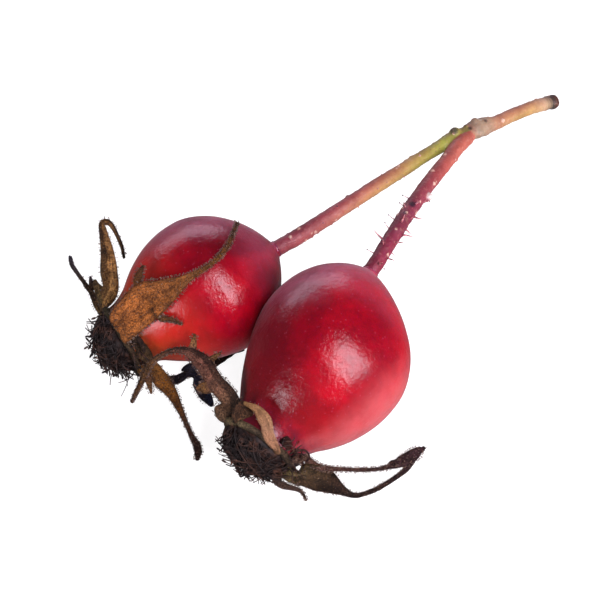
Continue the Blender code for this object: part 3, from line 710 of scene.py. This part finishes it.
def stain_hip(bm, which):
    """Lays each skin colour's share into its own layer: painted shade, a painted sheen over the wax near the
    stem, a painted pink reflection, and orange that is partly painted bounce light.
    """
    along = bm.verts.layers.float["along"]
    unripe, bloom, ripe, flush = [
        bm.verts.layers.float.new(name) for name in ("unripe", "bloom", "ripe", "flush")]
    for vert in bm.verts:
        share, facing = vert[along], vert.normal
        # Orange at the calyx end, more on faces turned down: partly painted bounce light from the floor.
        low_end = held((share - 0.52) / 0.45) * (0.95 - 0.5 * facing.z)
        vert[unripe] = min(1.0, (1.1 if which == "rear" else 0.15) * low_end)
        stem_end = max(0.0, 1 - share / 0.3) * max(0.0, facing.z + 0.2)
        # Painted sheen: the upper side laid in pale mauve, as if it reflected the light behind; the wax near
        # the stem is added to it.
        rim_light = max(0.0, facing.dot(SHEEN_SIDE) - 0.52) / 0.42
        vert[bloom] = min(0.95, rim_light ** 1.7 + 0.42 * stem_end)
        # Painted reflection: the front hip's lower right laid in pink, as if it reflected the light on that
        # side.
        low_side = max(0.0, facing.dot(REFLECTION_SIDE) - 0.57) / 0.43
        vert[flush] = 0.95 * low_side ** 1.2 * (which == "front")
        # Painted shade: one side of each hip is laid in darker, as if in shade.
        vert[ripe] = min(0.9, max(0.0, 0.25 + 1.3 * facing.dot(SHADOWED_SIDE[which])))


def make_hip(which, looks, floor):
    hip = HIPS[which]
    bm = turned_hip(hip, looks.sides)
    bmesh.ops.transform(bm, matrix=hip_frame(hip), verts=bm.verts)
    along = bm.verts.layers.float["along"]
    for vert in bm.verts:
        spoke = (vert.co - Vector(hip["middle"])).normalized()
        for middle_share, side, high, wide in BULGES[which]:
            near = bell(vert[along] - middle_share, wide) * max(0.0, spoke.dot(side)) ** 2
            vert.co += side * high * near
        vert.co += POLE_SHIFT[which] * max(0.0, 1 - max(0.0, vert[along]) / POLE_SPREAD) ** 2
        if which == "rear":
            vert.co = keep_off(vert.co, HIPS["front"], TOUCH)
    bm.normal_update()
    for vert in bm.verts:
        vert.co.z = max(vert.co.z, floor)
    stain_hip(bm, which)
    finish_piece(bm, f"hip_{which}_skin", hip_skin(which, looks), "hip_skin", f"hip_{which}")


# Stem

def pedicel_path(which):
    """A pedicel's points, with the last two on the axis of its hip and its end inside the collar."""
    frame = hip_frame(HIPS[which])
    axis = frame.col[2].to_3d()
    pole = frame.translation + axis * HIPS[which]["length"] / 2 + POLE_SHIFT[which]
    return list(PEDICELS[which]) + [(*(pole + axis * high), wide) for high, wide in (LAST_BEND, STEM_END)]


def warts(paths, rng):
    """Low bumps spread along each length of the stem, as places and radii."""
    found = []
    for which, path in paths.items():
        headings = tangents(path)
        for _ in range(WARTS[which]):
            index = rng.randrange(4, len(path) - 4)
            place, along = path[index], headings[index]
            out = Matrix.Rotation(rng.uniform(0, math.tau), 3, along) @ along.orthogonal()
            size = rng.uniform(0.10, 0.24)
            found.append((place.to_3d() + out.normalized() * (place[3] - size * 0.45), size))
    return found


def nearest_of(places):
    tree = KDTree(len(places))
    for index, place in enumerate(places):
        tree.insert(place, index)
    tree.balance()
    return tree


def fused_stem(paths, bumps, fineness):
    """The lengths and their bumps as one eased skin."""
    bm = threads("stem lengths", list(paths.values()), 16)
    for place, size in bumps:
        ball(bm, 2, size, Matrix.Translation(place))
    obj = in_scene("stem lengths", into_mesh(bm, "stem lengths"))
    fuse = obj.modifiers.new("fuse", "REMESH")
    fuse.mode = "VOXEL"
    fuse.voxel_size = fineness
    obj.modifiers.new("ease", "SMOOTH").iterations = 4
    return final_form(obj)


def make_stem(looks):
    """Fuses the three lengths, their warts and scars into one skin, then stains it along each length."""
    paths = {"peduncle": through(PEDUNCLE, 0.4)}
    for which in PEDICELS:
        paths[which] = through(pedicel_path(which), 0.4)
    found = warts(paths, random.Random(SEEDS["stem"]))
    bm = fused_stem(paths, found + [(Vector(s[:3]), s[3]) for s in SCARS], looks.fineness / MM)
    bm.normal_update()
    stain = bm.verts.layers.float_color.new("stain")
    marks = [(which, i / (len(path) - 1), place.to_3d())
             for which, path in paths.items() for i, place in enumerate(path)]
    near_mark = nearest_of([mark[2] for mark in marks])
    near_wart = nearest_of([place for place, _ in found])
    shades = {which: [paints(codes) for codes in sides] for which, sides in STEM_SHADES.items()}
    spots = [(Vector(place), wide, *paints(shade)) for place, wide, shade in SPOTS]
    pale = paints(PALE_WART)[0]
    for vert in bm.verts:
        which, share, _ = marks[near_mark.find(vert.co)[1]]
        lit, shaded = [between(stops, share) for stops in shades[which]]
        tone = lit.lerp(shaded, held(0.5 + 0.9 * vert.normal.dot(UNDERSIDE)))
        for place, wide, shade in spots:
            near = 1 - (vert.co - place).length / wide
            if near > 0:
                tone = tone.lerp(shade, min(1.0, 2.2 * near))
        _, index, away = near_wart.find(vert.co)
        if index % 5 < 3 and away < found[index][1]:
            tone = tone.lerp(pale, 0.75)
        vert[stain] = tone
        vert.co += vert.normal * (0.035 * noise.noise(vert.co * 1.8) + 0.02 * noise.noise(vert.co * 5))
    finish_piece(bm, "stem_skin", stem_bark(looks), "stem_bark", "stem")


def bristle_places(points, count, reach, length, rng):
    """Root, direction and length of bristles spread evenly along and round a pedicel."""
    path = through(points, 0.15)
    headings = tangents(path)
    for i in range(count):
        share = reach[0] + (reach[1] - reach[0]) * (i + rng.random()) / count
        index = min(len(path) - 1, int(share * len(path)))
        place, along = path[index], headings[index]
        round_it = Matrix.Rotation(math.radians(GOLDEN_TURN * i + rng.uniform(-25, 25)), 3, along)
        out = round_it @ along.orthogonal().normalized()
        lean = (out + along * rng.uniform(-0.35, 0.25)).normalized()
        yield place.to_3d() + out * (place[3] - 0.12), lean, length * rng.uniform(0.75, 1.15) + 0.1


def make_bristles(looks):
    """Prickle-like bristles with a broad foot; about half end in a dark gland."""
    rng = random.Random(SEEDS["bristles"])
    bm = bmesh.new()
    tip = bm.verts.layers.float.new("tip")
    for which in PEDICELS:
        for root, lean, length in bristle_places(pedicel_path(which), *BRISTLES[which], rng):
            glandular = rng.random() < (0.8 if lean.x < 0 else 0.15)
            thick = 0.06 if glandular else 0.12
            length *= 0.7 if glandular else 1
            reach = length / 2
            bend = (lean + stray(rng, 0.25)).normalized()
            middle = root + lean * reach
            foot = (root, lean, thick, thick * 0.6)
            for start, aim, wide, narrow in (foot, (middle, bend, thick * 0.6, 0.018)):
                at = upright(start + aim * reach / 2, aim)
                made = bmesh.ops.create_cone(bm, cap_ends=True, segments=6, radius1=wide, radius2=narrow,
                                             depth=reach * 1.02, matrix=at)
                for vert in made["verts"]:
                    vert[tip] = min(0.85, (vert.co - root).length / length)
            if glandular:
                for vert in ball(bm, 1, 0.075, Matrix.Translation(middle + bend * reach)):
                    vert[tip] = 1
    finish_piece(bm, "stem_bristles", bristle_skin(looks), "stem_bark")


# Calyx

def new_blades():
    """An empty bmesh with the layers that the dry material reads."""
    bm = bmesh.new()
    for name in ("across", "down", "felted"):
        bm.verts.layers.float.new(name)
    bm.verts.layers.float_color.new("stain")
    return bm


def sepal_path(hip, sepal):
    """The midrib: two root points on the rim, then the sepal's own points."""
    middle, out, _, _ = calyx_frame(hip)
    spoke = rim_spoke(hip, sepal["turn"])
    lift = sepal.get("lift", ROOT_LIFT)
    roots = [middle + spoke * (rim_radius(hip) + reach) + out * lift for reach in ROOT_SPAN]
    return [(*root, sepal["root"]) for root in roots] + list(sepal["path"])


def lay_blade(bm, curve, normals, roll, twist, columns, seed):
    """A blade along the curve: a grid rolled round its midrib. Gives its rows of verts, edge to edge."""
    headings = tangents(curve)
    rows = len(curve) - 1
    high, waves = RUFFLE
    laid = [[None] * (columns + 1) for _ in curve]
    across_layer, down_layer = [bm.verts.layers.float[name] for name in ("across", "down")]
    down = 0.0
    half_roll = math.radians(abs(roll)) / 2
    for vert in bmesh.ops.create_grid(bm, x_segments=columns, y_segments=rows, size=0.5)["verts"]:
        across, row = 2 * vert.co.x, round((vert.co.y + 0.5) * rows)
        laid[row][round((across + 1) / 2 * columns)] = vert
        vert[across_layer] = across
    for row, line in enumerate(laid):
        if row:
            down += (curve[row] - curve[row - 1]).to_3d().length
        width = headings[row].cross(normals[row]).normalized()
        normal = width.cross(headings[row])
        turn = Matrix.Rotation(math.radians(twist) * row / rows, 3, headings[row])
        width, normal = turn @ width, turn @ normal
        half = curve[row][3] / 2
        slim = min(1.0, half)
        settle = min(1.0, row / 4)
        bent = half_roll * (0.25 + 0.75 * settle)
        arc = half / math.sin(min(bent, math.pi / 2))
        for vert in line:
            across = vert[across_layer]
            drop = arc * (1 - math.cos(across * bent)) - arc * (1 - math.cos(bent)) * 0.4
            ruffle = high * settle * slim * noise.noise(Vector((down * waves, across * 1.2, seed)))
            ruffle *= 1 + 3 * across * across
            rib = 0.05 * bell(across, 0.14) * slim
            fold = FOLD * settle * slim * noise.noise(Vector((down * 1.1, across * 1.8, seed + 9)))
            lift = ruffle + rib + fold - math.copysign(drop, roll)
            sideways = arc * math.sin(across * bent)
            vert.co = curve[row].to_3d() + width * sideways + normal * lift
            vert[down_layer] = down
    return laid


def blade_normals(curve, out):
    """Facing along a sepal: out of the calyx at its root, turning to its own side."""
    rows = len(curve) - 1
    return [out.lerp(FACING, min(1.0, row / rows / FACING_SPAN)).normalized() for row in range(rows + 1)]


def stain_blade(bm, laid, shades, seed, felt=1, shaded_half=0):
    stain = bm.verts.layers.float_color["stain"]
    across_layer, felted = [bm.verts.layers.float[name] for name in ("across", "felted")]
    shade_from, shade_depth = SHADED_HALF
    for row, line in enumerate(laid):
        for vert in line:
            across = vert[across_layer]
            tone = between(shades, row / (len(laid) - 1)).to_3d()
            grey = sum(tone) / 3
            tone = Vector([max(0.0, grey + RICHER * (part - grey)) for part in tone])
            shift = 1 + 0.35 * noise.noise(vert.co * 0.9 + Vector((seed, 0, 0)))
            shift *= 1 - 0.55 * felt * abs(across) ** 2.5
            # Painted shade on one half of the blade.
            if across * shaded_half > shade_from:
                shift *= shade_depth
            vert[stain] = (*(tone * shift), 1)
            vert[felted] = felt


def add_lobe(bm, laid, lobe, shades, seed):
    """A side lobe: a small blade whose root is inside the main one."""
    share, side, reach, width = lobe
    row = laid[round(share * (len(laid) - 1))]
    inner, edge = row[len(row) // 2].co, row[-1 if side > 0 else 0].co
    start = inner.lerp(edge, 0.45)
    reach = Vector(reach)
    bend = Vector((0, 0, -0.12)) * reach.length
    points = ((*start, width * 1.5), (*edge.lerp(edge + reach, 0.08), width * 1.3),
              (*(edge + reach * 0.5 - bend), width), (*(edge + reach), width * 0.3))
    curve = through(points, BLADE_STEP)
    part = lay_blade(bm, curve, [FACING.normalized()] * len(curve), 80, 25 * side, 6, seed)
    stain_blade(bm, part, shades[-3:], seed)
    return part


def gland_spots(laid, share, rng):
    """Root and direction of glands along both edges of a blade and sprinkled over its outer side."""
    middle = len(laid[0]) // 2
    for line, following in zip(laid[3:], laid[4:]):
        heading = (following[middle].co - line[middle].co).normalized()
        for edge, inner in ((line[0].co, line[1].co), (line[-1].co, line[-2].co)):
            for _ in range(4):
                if rng.random() < 0.9 * share:
                    lean = (edge - inner).normalized() + stray(rng, 0.8) + heading * 0.2
                    yield edge + heading * rng.uniform(0, BLADE_STEP), lean.normalized()
        normal = (line[-1].co - line[0].co).cross(heading).normalized()
        for vert in line[1:-1]:
            if rng.random() < 0.22 * share:
                off = stray(rng, 0.6)
                facing = normal if rng.random() < 0.7 else -normal
                yield vert.co + heading * rng.uniform(0, BLADE_STEP), (facing + off).normalized()


def gland(root, lean, length, rng):
    """A stalked gland as a thread: a thin stalk, then a round head; ends in its radius."""
    head = rng.uniform(0.030, 0.048)
    profile = ((-0.08, 0.026), (length, 0.017), (length + head * 0.4, head * 0.85), (length + head, head),
               (length + head * 1.7, head * 0.7), (length + head * 2, head * 0.2))
    return [(*(root + lean * high), wide) for high, wide in profile]


def finish_glands(which, lines, material, rng):
    bm = threads("glands", lines, 4)
    pale = bm.verts.layers.float.new("pale")
    each = len(bm.verts) // len(lines)
    bm.verts.ensure_lookup_table()
    for i in range(len(lines)):
        light = rng.random() ** 3
        for k in range(each):
            bm.verts[i * each + k][pale] = light if k >= each // 3 else 0.1 * light
    finish_piece(bm, f"glands_{which}", material, "dry_sepal")


def make_sepal(which, number, looks, material, glands, rng):
    hip, sepal = HIPS[which], SEPALS[which][number - 1]
    bm = new_blades()
    curve = through(sepal_path(hip, sepal), BLADE_STEP)
    facing = blade_normals(curve, calyx_frame(hip)[1])
    seed = number * 7.3 + (50 if which == "rear" else 0)
    shades = paints(sepal["shades"])
    laid = lay_blade(bm, curve, facing, sepal["roll"], sepal["twist"], BLADE_COLUMNS, seed)
    stain_blade(bm, laid, shades, seed, sepal.get("felt", 1), sepal.get("shaded_half", 0))
    lobes = enumerate(sepal.get("lobes", ()))
    parts = [laid] + [add_lobe(bm, laid, lobe, shades, seed + i) for i, lobe in lobes]
    half = looks.thickness / MM / 2
    for vert in bm.verts:
        for other in HIPS.values():
            vert.co = keep_off(vert.co, other, half + 0.08)
        vert.co.z = max(vert.co.z, half)
    for part in parts:
        for root, lean in gland_spots(part, sepal["glands"], rng):
            glands.append(gland(root, lean, looks.gland_length / MM * rng.uniform(0.3, 1.3), rng))
    bmesh.ops.solidify(bm, geom=bm.faces[:], thickness=half * 2)
    name = f"sepal_{which}_{number}"
    soften(finish_piece(bm, name + "_blade", material, "dry_sepal", name))


def make_scraps_and_shade(which, material):
    """Broken lobes and curls left on the rim, and a dark sheet of painted shade under the rear hip, in one
    piece.
    """
    bm = new_blades()
    for number, (points, roll, shades) in enumerate(SCRAPS_AND_SHADE[which]):
        curve = through(points, 0.16)
        laid = lay_blade(bm, curve, [FACING.normalized()] * len(curve), roll, 30, 6, 90.0 + number)
        stain_blade(bm, laid, paints(shades), number)
    for vert in bm.verts:
        vert.co = keep_off(vert.co, HIPS[which], 0.2)
        vert.co.z = max(vert.co.z, 0.12)
    bmesh.ops.solidify(bm, geom=bm.faces[:], thickness=0.2)
    soften(finish_piece(bm, f"calyx_scraps_{which}", material, "dry_sepal"))


def wisps(which, rng):
    """Curled threads of dried tissue on the rim, as lines that end in their radius."""
    hip = HIPS[which]
    middle, out, _, _ = calyx_frame(hip)
    count, turns = WISPS[which]
    for _ in range(count):
        spoke = rim_spoke(hip, rng.uniform(*turns))
        lean = spoke - out * 0.5 + stray(rng, 0.7)
        root = middle + spoke * (rim_radius(hip) + 0.1) + out * rng.uniform(-0.3, 0.6)
        line = filament(root, lean.normalized(), rng.uniform(0.8, 1.9), DROOP * rng.uniform(-0.3, 0.3),
                        rng.uniform(-1.6, 1.6), rng)
        yield [(*place[:3], place[3] * 1.3) for place in line]


def make_calyx_ring(which, material):
    """The fleshy ring that the sepals grow from, swollen under each root."""
    hip = HIPS[which]
    middle, out, right, up = calyx_frame(hip)
    bm = new_blades()
    stain, felted = bm.verts.layers.float_color["stain"], bm.verts.layers.float["felted"]
    inset = rim_radius(hip) - 0.25
    turns = [math.tau * i / 12 for i in range(12)]
    spun(bm, [(inset + 0.52 * math.cos(a), 0.28 + 0.33 * math.sin(a)) for a in turns], 90, closed=True)
    roots = [math.radians(sepal["turn"]) for sepal in SEPALS[which]]
    tones = paints(RING_SHADES[which])
    for vert in bm.verts:
        turn = math.atan2(vert.co.x, vert.co.y)
        near = min(abs(math.remainder(turn - root, math.tau)) for root in roots)
        swell = 0.14 * bell(near, 0.28) + 0.16 * noise.noise(vert.co * 1.3)
        vert.co += Vector((vert.co.x, vert.co.y, 0)).normalized() * swell + Vector((0, 0, swell * 0.6))
        vert[stain] = between(tones + tones[:1], (turn / math.tau) % 1 + 0.05 * noise.noise(vert.co * 0.8))
        vert[felted] = 0.8
    bmesh.ops.transform(bm, matrix=frame_of(right, up, out, middle), verts=bm.verts)
    finish_piece(bm, f"calyx_ring_{which}", material, "dry_sepal")


# Tufts of dried stamens

def filament(root, lean, reach, pull, curl, rng, lock=Vector()):
    """A filament that leaves its root straight, then bends to the pull and curls; ends in its radius."""
    steps = 9
    place, heading = root.copy(), lean.copy()
    axis = (stray(rng, 1) + lock).normalized()
    thick = rng.uniform(0.042, 0.078)
    points = []
    for step in range(steps + 1):
        share = step / steps
        points.append((*place, thick * (1 - 0.4 * share)))
        heading = (heading + pull * share).normalized()
        heading = Matrix.Rotation(curl * share, 3, axis) @ heading
        place = place + heading * reach / steps
    return points


def draped(heart, start, pull, reach, curl, rng):
    """A strand that lies over a tuft's heart and lifts off at its end; ends in its radius."""
    steps = 10
    spot, heading = start.copy(), (pull - start * pull.dot(start)).normalized()
    lift = rng.uniform(0.02, 0.12)
    rise = rng.choice((0, 0.1, 0.35))
    thick = rng.uniform(0.045, 0.085)
    points = []
    for step in range(steps + 1):
        share = step / steps
        points.append((*(heart @ (spot * (1 + lift + rise * share ** 3))), thick * (1 - 0.35 * share)))
        along = Matrix.Rotation(reach / steps, 3, spot.cross(heading).normalized())
        spot, heading = along @ spot, along @ heading
        heading = Matrix.Rotation(curl * (0.4 + share), 3, spot) @ heading
    return points


def standing(which, count, core, rng):
    """Filaments that stand on the core, clumped, and the ones among them that keep an anther."""
    middle, out, right, up = calyx_frame(HIPS[which])
    share, sweep = SWEEP[which]
    lines, anthers = [], []
    for i in range(count):
        splay = math.sqrt((i + rng.random()) / count)
        turn = i * math.radians(GOLDEN_TURN) + rng.uniform(-0.2, 0.2)
        spoke = right * math.cos(turn) + up * math.sin(turn)
        near = spoke * splay
        clump = Vector([noise.noise(near * 3 + Vector((0, 0, 9 * k))) for k in range(3)]) * 1.4
        lock = Vector([noise.noise(near * 3.2 + Vector((9 * k, 5, 0))) for k in range(3)]) * 6
        lean = (out * (1 - 0.45 * splay) + near * 0.55 + clump + stray(rng, 0.16)).normalized()
        root = middle + spoke * core * splay + out * (0.75 - 0.4 * splay)
        loose = rng.random() < 0.03
        reach = rng.uniform(*TUFT_REACH[which][loose or rng.random() < 0.2])
        pull = DROOP * (rng.uniform(0.1, 0.5) if loose else rng.uniform(0.5, 1.6))
        curl = rng.choice((-1, 1)) * rng.uniform(0.4, 1.1)
        if spoke.dot(sweep) > 0.5 and splay > 0.5 and rng.random() < share:
            pull, reach, curl = sweep * rng.uniform(0.3, 0.9), rng.uniform(2.8, 4.4), curl * 0.6
        lines.append(filament(root, lean, reach, pull, curl, rng, lock))
        if (Vector(lines[-1][-1][:3]) - middle - out).length < core + 1 and rng.random() < 0.5:
            anthers.append(lines[-1])
    return lines, anthers


def make_tuft(which, looks, material, floor):
    """A dark core under a drooping mat of filaments, some with the remains of their anthers."""
    middle, out, right, up = calyx_frame(HIPS[which])
    rng = random.Random(SEEDS[f"tuft {which}"])
    core = rim_radius(HIPS[which]) - CORE_INSET
    lines, anthers = standing(which, looks.filaments, core, rng)
    wide, high = HEART
    heart = frame_of(right * (core + wide), up * (core + wide), out * high, middle + out * 0.45)
    hang = heart.to_3x3().inverted() @ DROOP
    for _ in range(DRAPED):
        start = Vector((rng.gauss(0, 1), rng.gauss(0, 1), abs(rng.gauss(0, 1)) + 0.1)).normalized()
        pull = hang + stray(rng, 0.25)
        lines.append(draped(heart, start, pull, rng.uniform(0.5, 1.4), rng.uniform(-0.28, 0.28), rng))
        if rng.random() < 0.2:
            anthers.append(lines[-1])
    bm = threads("filaments", lines + list(wisps(which, rng)), 4)
    for line in anthers:
        if line[-1][2] > floor:
            end, before = Vector(line[-1][:3]), Vector(line[-2][:3])
            at = upright(end, (end - before).normalized()) @ Matrix.Diagonal((0.55, 1, 1.6, 1))
            ball(bm, 1, rng.uniform(0.09, 0.19), at)
    for vert in ball(bm, 4, 1, heart):
        vert.co += (vert.co - middle).normalized() * 0.35 * noise.noise(vert.co * 2)
    for vert in bm.verts:
        vert.co.z = max(vert.co.z, floor + 0.02)
    finish_piece(bm, f"tuft_{which}_stamens", material, "dry_stamens", f"tuft_{which}")


# Properties

COLOUR = {"subtype": "COLOR", "size": 4}
LENGTH = {"unit": "LENGTH", "precision": 5}
POWER = {"unit": "POWER", "min": 0.0}


class HipLooks(bpy.types.PropertyGroup):
    sides: bpy.props.IntProperty(name="Sides", description="Faces round a hip", default=112, min=24, max=200)
    deep: bpy.props.FloatVectorProperty(
        name="Deep", description="Shaded crimson of the skin", default=(0.068, 0.0002, 0.004, 1), **COLOUR)
    bright: bpy.props.FloatVectorProperty(
        name="Bright", description="Clear red of the skin", default=(0.205, 0.0004, 0.006, 1), **COLOUR)
    # Also the colour of the painted sheen on the upper side, and of the pale pores.
    bloom: bpy.props.FloatVectorProperty(
        name="Bloom", description="Waxy bloom towards the stem", default=(0.27, 0.058, 0.105, 1), **COLOUR)
    # Painted reflection: the pink laid on the front hip's lower right.
    flush: bpy.props.FloatVectorProperty(
        name="Flush", description="Pink of the palest side", default=(0.28, 0.055, 0.060, 1), **COLOUR)
    # Partly painted bounce light: laid more on faces turned down towards the floor.
    unripe: bpy.props.FloatVectorProperty(
        name="Unripe", description="Orange of the less ripe side", default=(0.30, 0.026, 0.002, 1), **COLOUR)
    collar: bpy.props.FloatVectorProperty(
        name="Collar", description="Purple collar round the stem", default=(0.10, 0.016, 0.034, 1), **COLOUR)
    neck: bpy.props.FloatVectorProperty(
        name="Neck", description="Olive brown next to the calyx", default=(0.045, 0.017, 0.005, 1), **COLOUR)
    front_neck: bpy.props.FloatVectorProperty(
        name="Front neck", description="Dark crimson next to the front calyx",
        default=(0.060, 0.004, 0.010, 1), **COLOUR)


class StemLooks(bpy.types.PropertyGroup):
    fineness: bpy.props.FloatProperty(
        name="Fineness", description="Face size of the fused stem", default=0.00011, min=0.00005, max=0.0005,
        **LENGTH)
    blotch: bpy.props.FloatVectorProperty(
        name="Blotch", description="Tint of the darker blotches", default=(0.5, 0.30, 0.30, 1), **COLOUR)
    freckle: bpy.props.FloatVectorProperty(
        name="Freckle", description="Dark freckles", default=(0.10, 0.02, 0.035, 1), **COLOUR)
    pale: bpy.props.FloatVectorProperty(
        name="Pale", description="Pale waxy grains", default=(0.34, 0.18, 0.14, 1), **COLOUR)
    bristle_root: bpy.props.FloatVectorProperty(
        name="Bristle root", description="Red of a bristle's foot", default=(0.20, 0.03, 0.05, 1), **COLOUR)
    bristle: bpy.props.FloatVectorProperty(
        name="Bristle", description="Shaft of a bristle", default=(0.30, 0.12, 0.13, 1), **COLOUR)
    bristle_gland: bpy.props.FloatVectorProperty(
        name="Bristle gland", description="Dark head of a bristle", default=(0.03, 0.01, 0.018, 1), **COLOUR)


class SepalLooks(bpy.types.PropertyGroup):
    thickness: bpy.props.FloatProperty(
        name="Thickness", description="Thickness of a dried blade", default=0.00026, min=0.0001, max=0.0006,
        **LENGTH)
    gland_length: bpy.props.FloatProperty(
        name="Gland length", description="Length of a gland's stalk", default=0.00009, min=0.0, max=0.001,
        **LENGTH)
    vein: bpy.props.FloatVectorProperty(
        name="Vein", description="Dark veins and hollows", default=(0.022, 0.010, 0.006, 1), **COLOUR)
    felt: bpy.props.FloatVectorProperty(
        name="Felt", description="Light felt", default=(0.36, 0.22, 0.12, 1), **COLOUR)
    gland: bpy.props.FloatVectorProperty(
        name="Gland", description="Dark gland", default=(0.030, 0.012, 0.008, 1), **COLOUR)
    gland_tip: bpy.props.FloatVectorProperty(
        name="Pale gland", description="Pale gland head", default=(0.20, 0.115, 0.07, 1), **COLOUR)


class TuftLooks(bpy.types.PropertyGroup):
    filaments: bpy.props.IntProperty(
        name="Filaments", description="Filaments in each tuft", default=380, min=20, max=900)
    dark: bpy.props.FloatVectorProperty(
        name="Dark", description="Near black of the filaments", default=(0.005, 0.002, 0.0018, 1), **COLOUR)
    brown: bpy.props.FloatVectorProperty(
        name="Brown", description="Browner filaments", default=(0.042, 0.016, 0.009, 1), **COLOUR)


class StageLooks(bpy.types.PropertyGroup):
    floor: bpy.props.FloatVectorProperty(
        name="Floor", description="Pale floor", default=(0.26, 0.26, 0.26, 1), **COLOUR)
    key: bpy.props.FloatProperty(name="Key", description="Power of the main lamp", default=3.5, **POWER)
    side: bpy.props.FloatProperty(name="Side", description="Power of the left lamp", default=1.15, **POWER)
    fill: bpy.props.FloatProperty(name="Fill", description="Power of the right lamp", default=1.9, **POWER)
    back: bpy.props.FloatProperty(name="Back", description="Power of the rear lamp", default=0.78, **POWER)
    glow: bpy.props.FloatProperty(name="Glow", description="Light of the floor itself", default=0.86, min=0)
    sky: bpy.props.FloatProperty(name="Sky", description="Light from all round", default=0.1, min=0)


# Operators

class SPRIG_OT_hips(bpy.types.Operator):
    """Make the skins of both hips"""
    bl_idname = "sprig.hips"
    bl_label = "Hips"

    def execute(self, context):
        for which in HIPS:
            make_hip(which, context.scene.sprig_hips, CAD_BOX[0][2] / MM)
        return {"FINISHED"}


class SPRIG_OT_stem(bpy.types.Operator):
    """Make the fused stem and its bristles"""
    bl_idname = "sprig.stem"
    bl_label = "Stem"

    def execute(self, context):
        make_stem(context.scene.sprig_stem)
        make_bristles(context.scene.sprig_stem)
        return {"FINISHED"}


class SPRIG_OT_calyxes(bpy.types.Operator):
    """Make the sepals, their glands and the ring they grow from, on both hips"""
    bl_idname = "sprig.calyxes"
    bl_label = "Calyxes"

    def execute(self, context):
        looks = context.scene.sprig_sepals
        blade, resin = dry_sepal(looks), gland_skin(looks)
        for which, sepals in SEPALS.items():
            rng = random.Random(SEEDS[f"calyx {which}"])
            glands = []
            for number in range(1, len(sepals) + 1):
                make_sepal(which, number, looks, blade, glands, rng)
            finish_glands(which, glands, resin, rng)
            make_calyx_ring(which, blade)
            make_scraps_and_shade(which, blade)
        return {"FINISHED"}


class SPRIG_OT_tufts(bpy.types.Operator):
    """Make the tufts of dried stamens"""
    bl_idname = "sprig.tufts"
    bl_label = "Tufts"

    def execute(self, context):
        looks = context.scene.sprig_tufts
        material = stamen_skin(looks)
        for which in HIPS:
            make_tuft(which, looks, material, CAD_BOX[0][2] / MM)
        return {"FINISHED"}


def make_floor(looks):
    bm = bmesh.new()
    bmesh.ops.create_grid(bm, x_segments=8, y_segments=8, size=1.5)
    floor = in_scene("floor", into_mesh(bm, "floor"))
    floor.location.z = CAD_BOX[0][2]
    floor.visible_glossy = False
    material, tree, shader = new_material("floor")
    feed(shader, {"Base Color": looks.floor, "Roughness": 0.9, "Emission Color": (1, 1, 1, 1),
                        "Emission Strength": looks.glow})
    floor.data.materials.append(material)


def make_lamps(looks):
    """Soft rectangular lamps that face the sprig, and a dim light all round."""
    for name, (direction, distance, width, height, colour) in LAMPS.items():
        data = bpy.data.lights.new(name + " lamp", "AREA")
        data.shape = "RECTANGLE"
        data.size, data.size_y = width, height
        data.energy = getattr(looks, name)
        data.color = colour
        obj = in_scene(name + " lamp", data)
        obj.matrix_world = upright(AIM + direction.normalized() * distance, direction)
        obj.visible_glossy = name not in DULL_LAMPS
    world = bpy.data.worlds.new("studio")
    bpy.context.scene.world = world
    world.use_nodes = True
    feed(world.node_tree.nodes["Background"], {"Color": (1, 1, 1, 1), "Strength": looks.sky})


def make_camera():
    data = bpy.data.cameras.new("camera")
    data.lens = LENS
    data.sensor_width = 36
    data.clip_start = 0.01
    camera = in_scene("camera", data)
    camera.matrix_world = upright(EYE, EYE - AIM)
    bpy.context.scene.camera = camera
    bpy.context.scene.view_settings.view_transform = "Standard"


class SPRIG_OT_stage(bpy.types.Operator):
    """Make the floor, the soft lamps and the camera"""
    bl_idname = "sprig.stage"
    bl_label = "Stage"

    def execute(self, context):
        make_floor(context.scene.sprig_stage)
        make_lamps(context.scene.sprig_stage)
        make_camera()
        return {"FINISHED"}


class SPRIG_PT_panel(bpy.types.Panel):
    """Lists the sprig's operators and looks"""
    bl_idname = "SPRIG_PT_panel"
    bl_label = "Rose Hip Sprig"
    bl_space_type = "VIEW_3D"
    bl_region_type = "UI"
    bl_category = "Sprig"

    def draw(self, context):
        for operator, looks in GROUPS:
            box = self.layout.box()
            box.operator(operator.bl_idname)
            group = getattr(context.scene, looks)
            for name in group.__annotations__:
                box.prop(group, name)


LOOKS = {"sprig_hips": HipLooks, "sprig_stem": StemLooks, "sprig_sepals": SepalLooks,
         "sprig_tufts": TuftLooks, "sprig_stage": StageLooks}
GROUPS = ((SPRIG_OT_hips, "sprig_hips"), (SPRIG_OT_stem, "sprig_stem"), (SPRIG_OT_calyxes, "sprig_sepals"),
          (SPRIG_OT_tufts, "sprig_tufts"), (SPRIG_OT_stage, "sprig_stage"))


def register():
    for name, looks in LOOKS.items():
        bpy.utils.register_class(looks)
        setattr(bpy.types.Scene, name, bpy.props.PointerProperty(type=looks))
    for operator, _ in GROUPS:
        bpy.utils.register_class(operator)
    bpy.utils.register_class(SPRIG_PT_panel)


def unregister():
    bpy.utils.unregister_class(SPRIG_PT_panel)
    for operator, _ in reversed(GROUPS):
        bpy.utils.unregister_class(operator)
    for name, looks in LOOKS.items():
        delattr(bpy.types.Scene, name)
        bpy.utils.unregister_class(looks)


def main():
    register()
    bpy.ops.sprig.stage()
    bpy.ops.sprig.hips()
    bpy.ops.sprig.stem()
    bpy.ops.sprig.calyxes()
    bpy.ops.sprig.tufts()


if __name__ == "__main__":
    main()
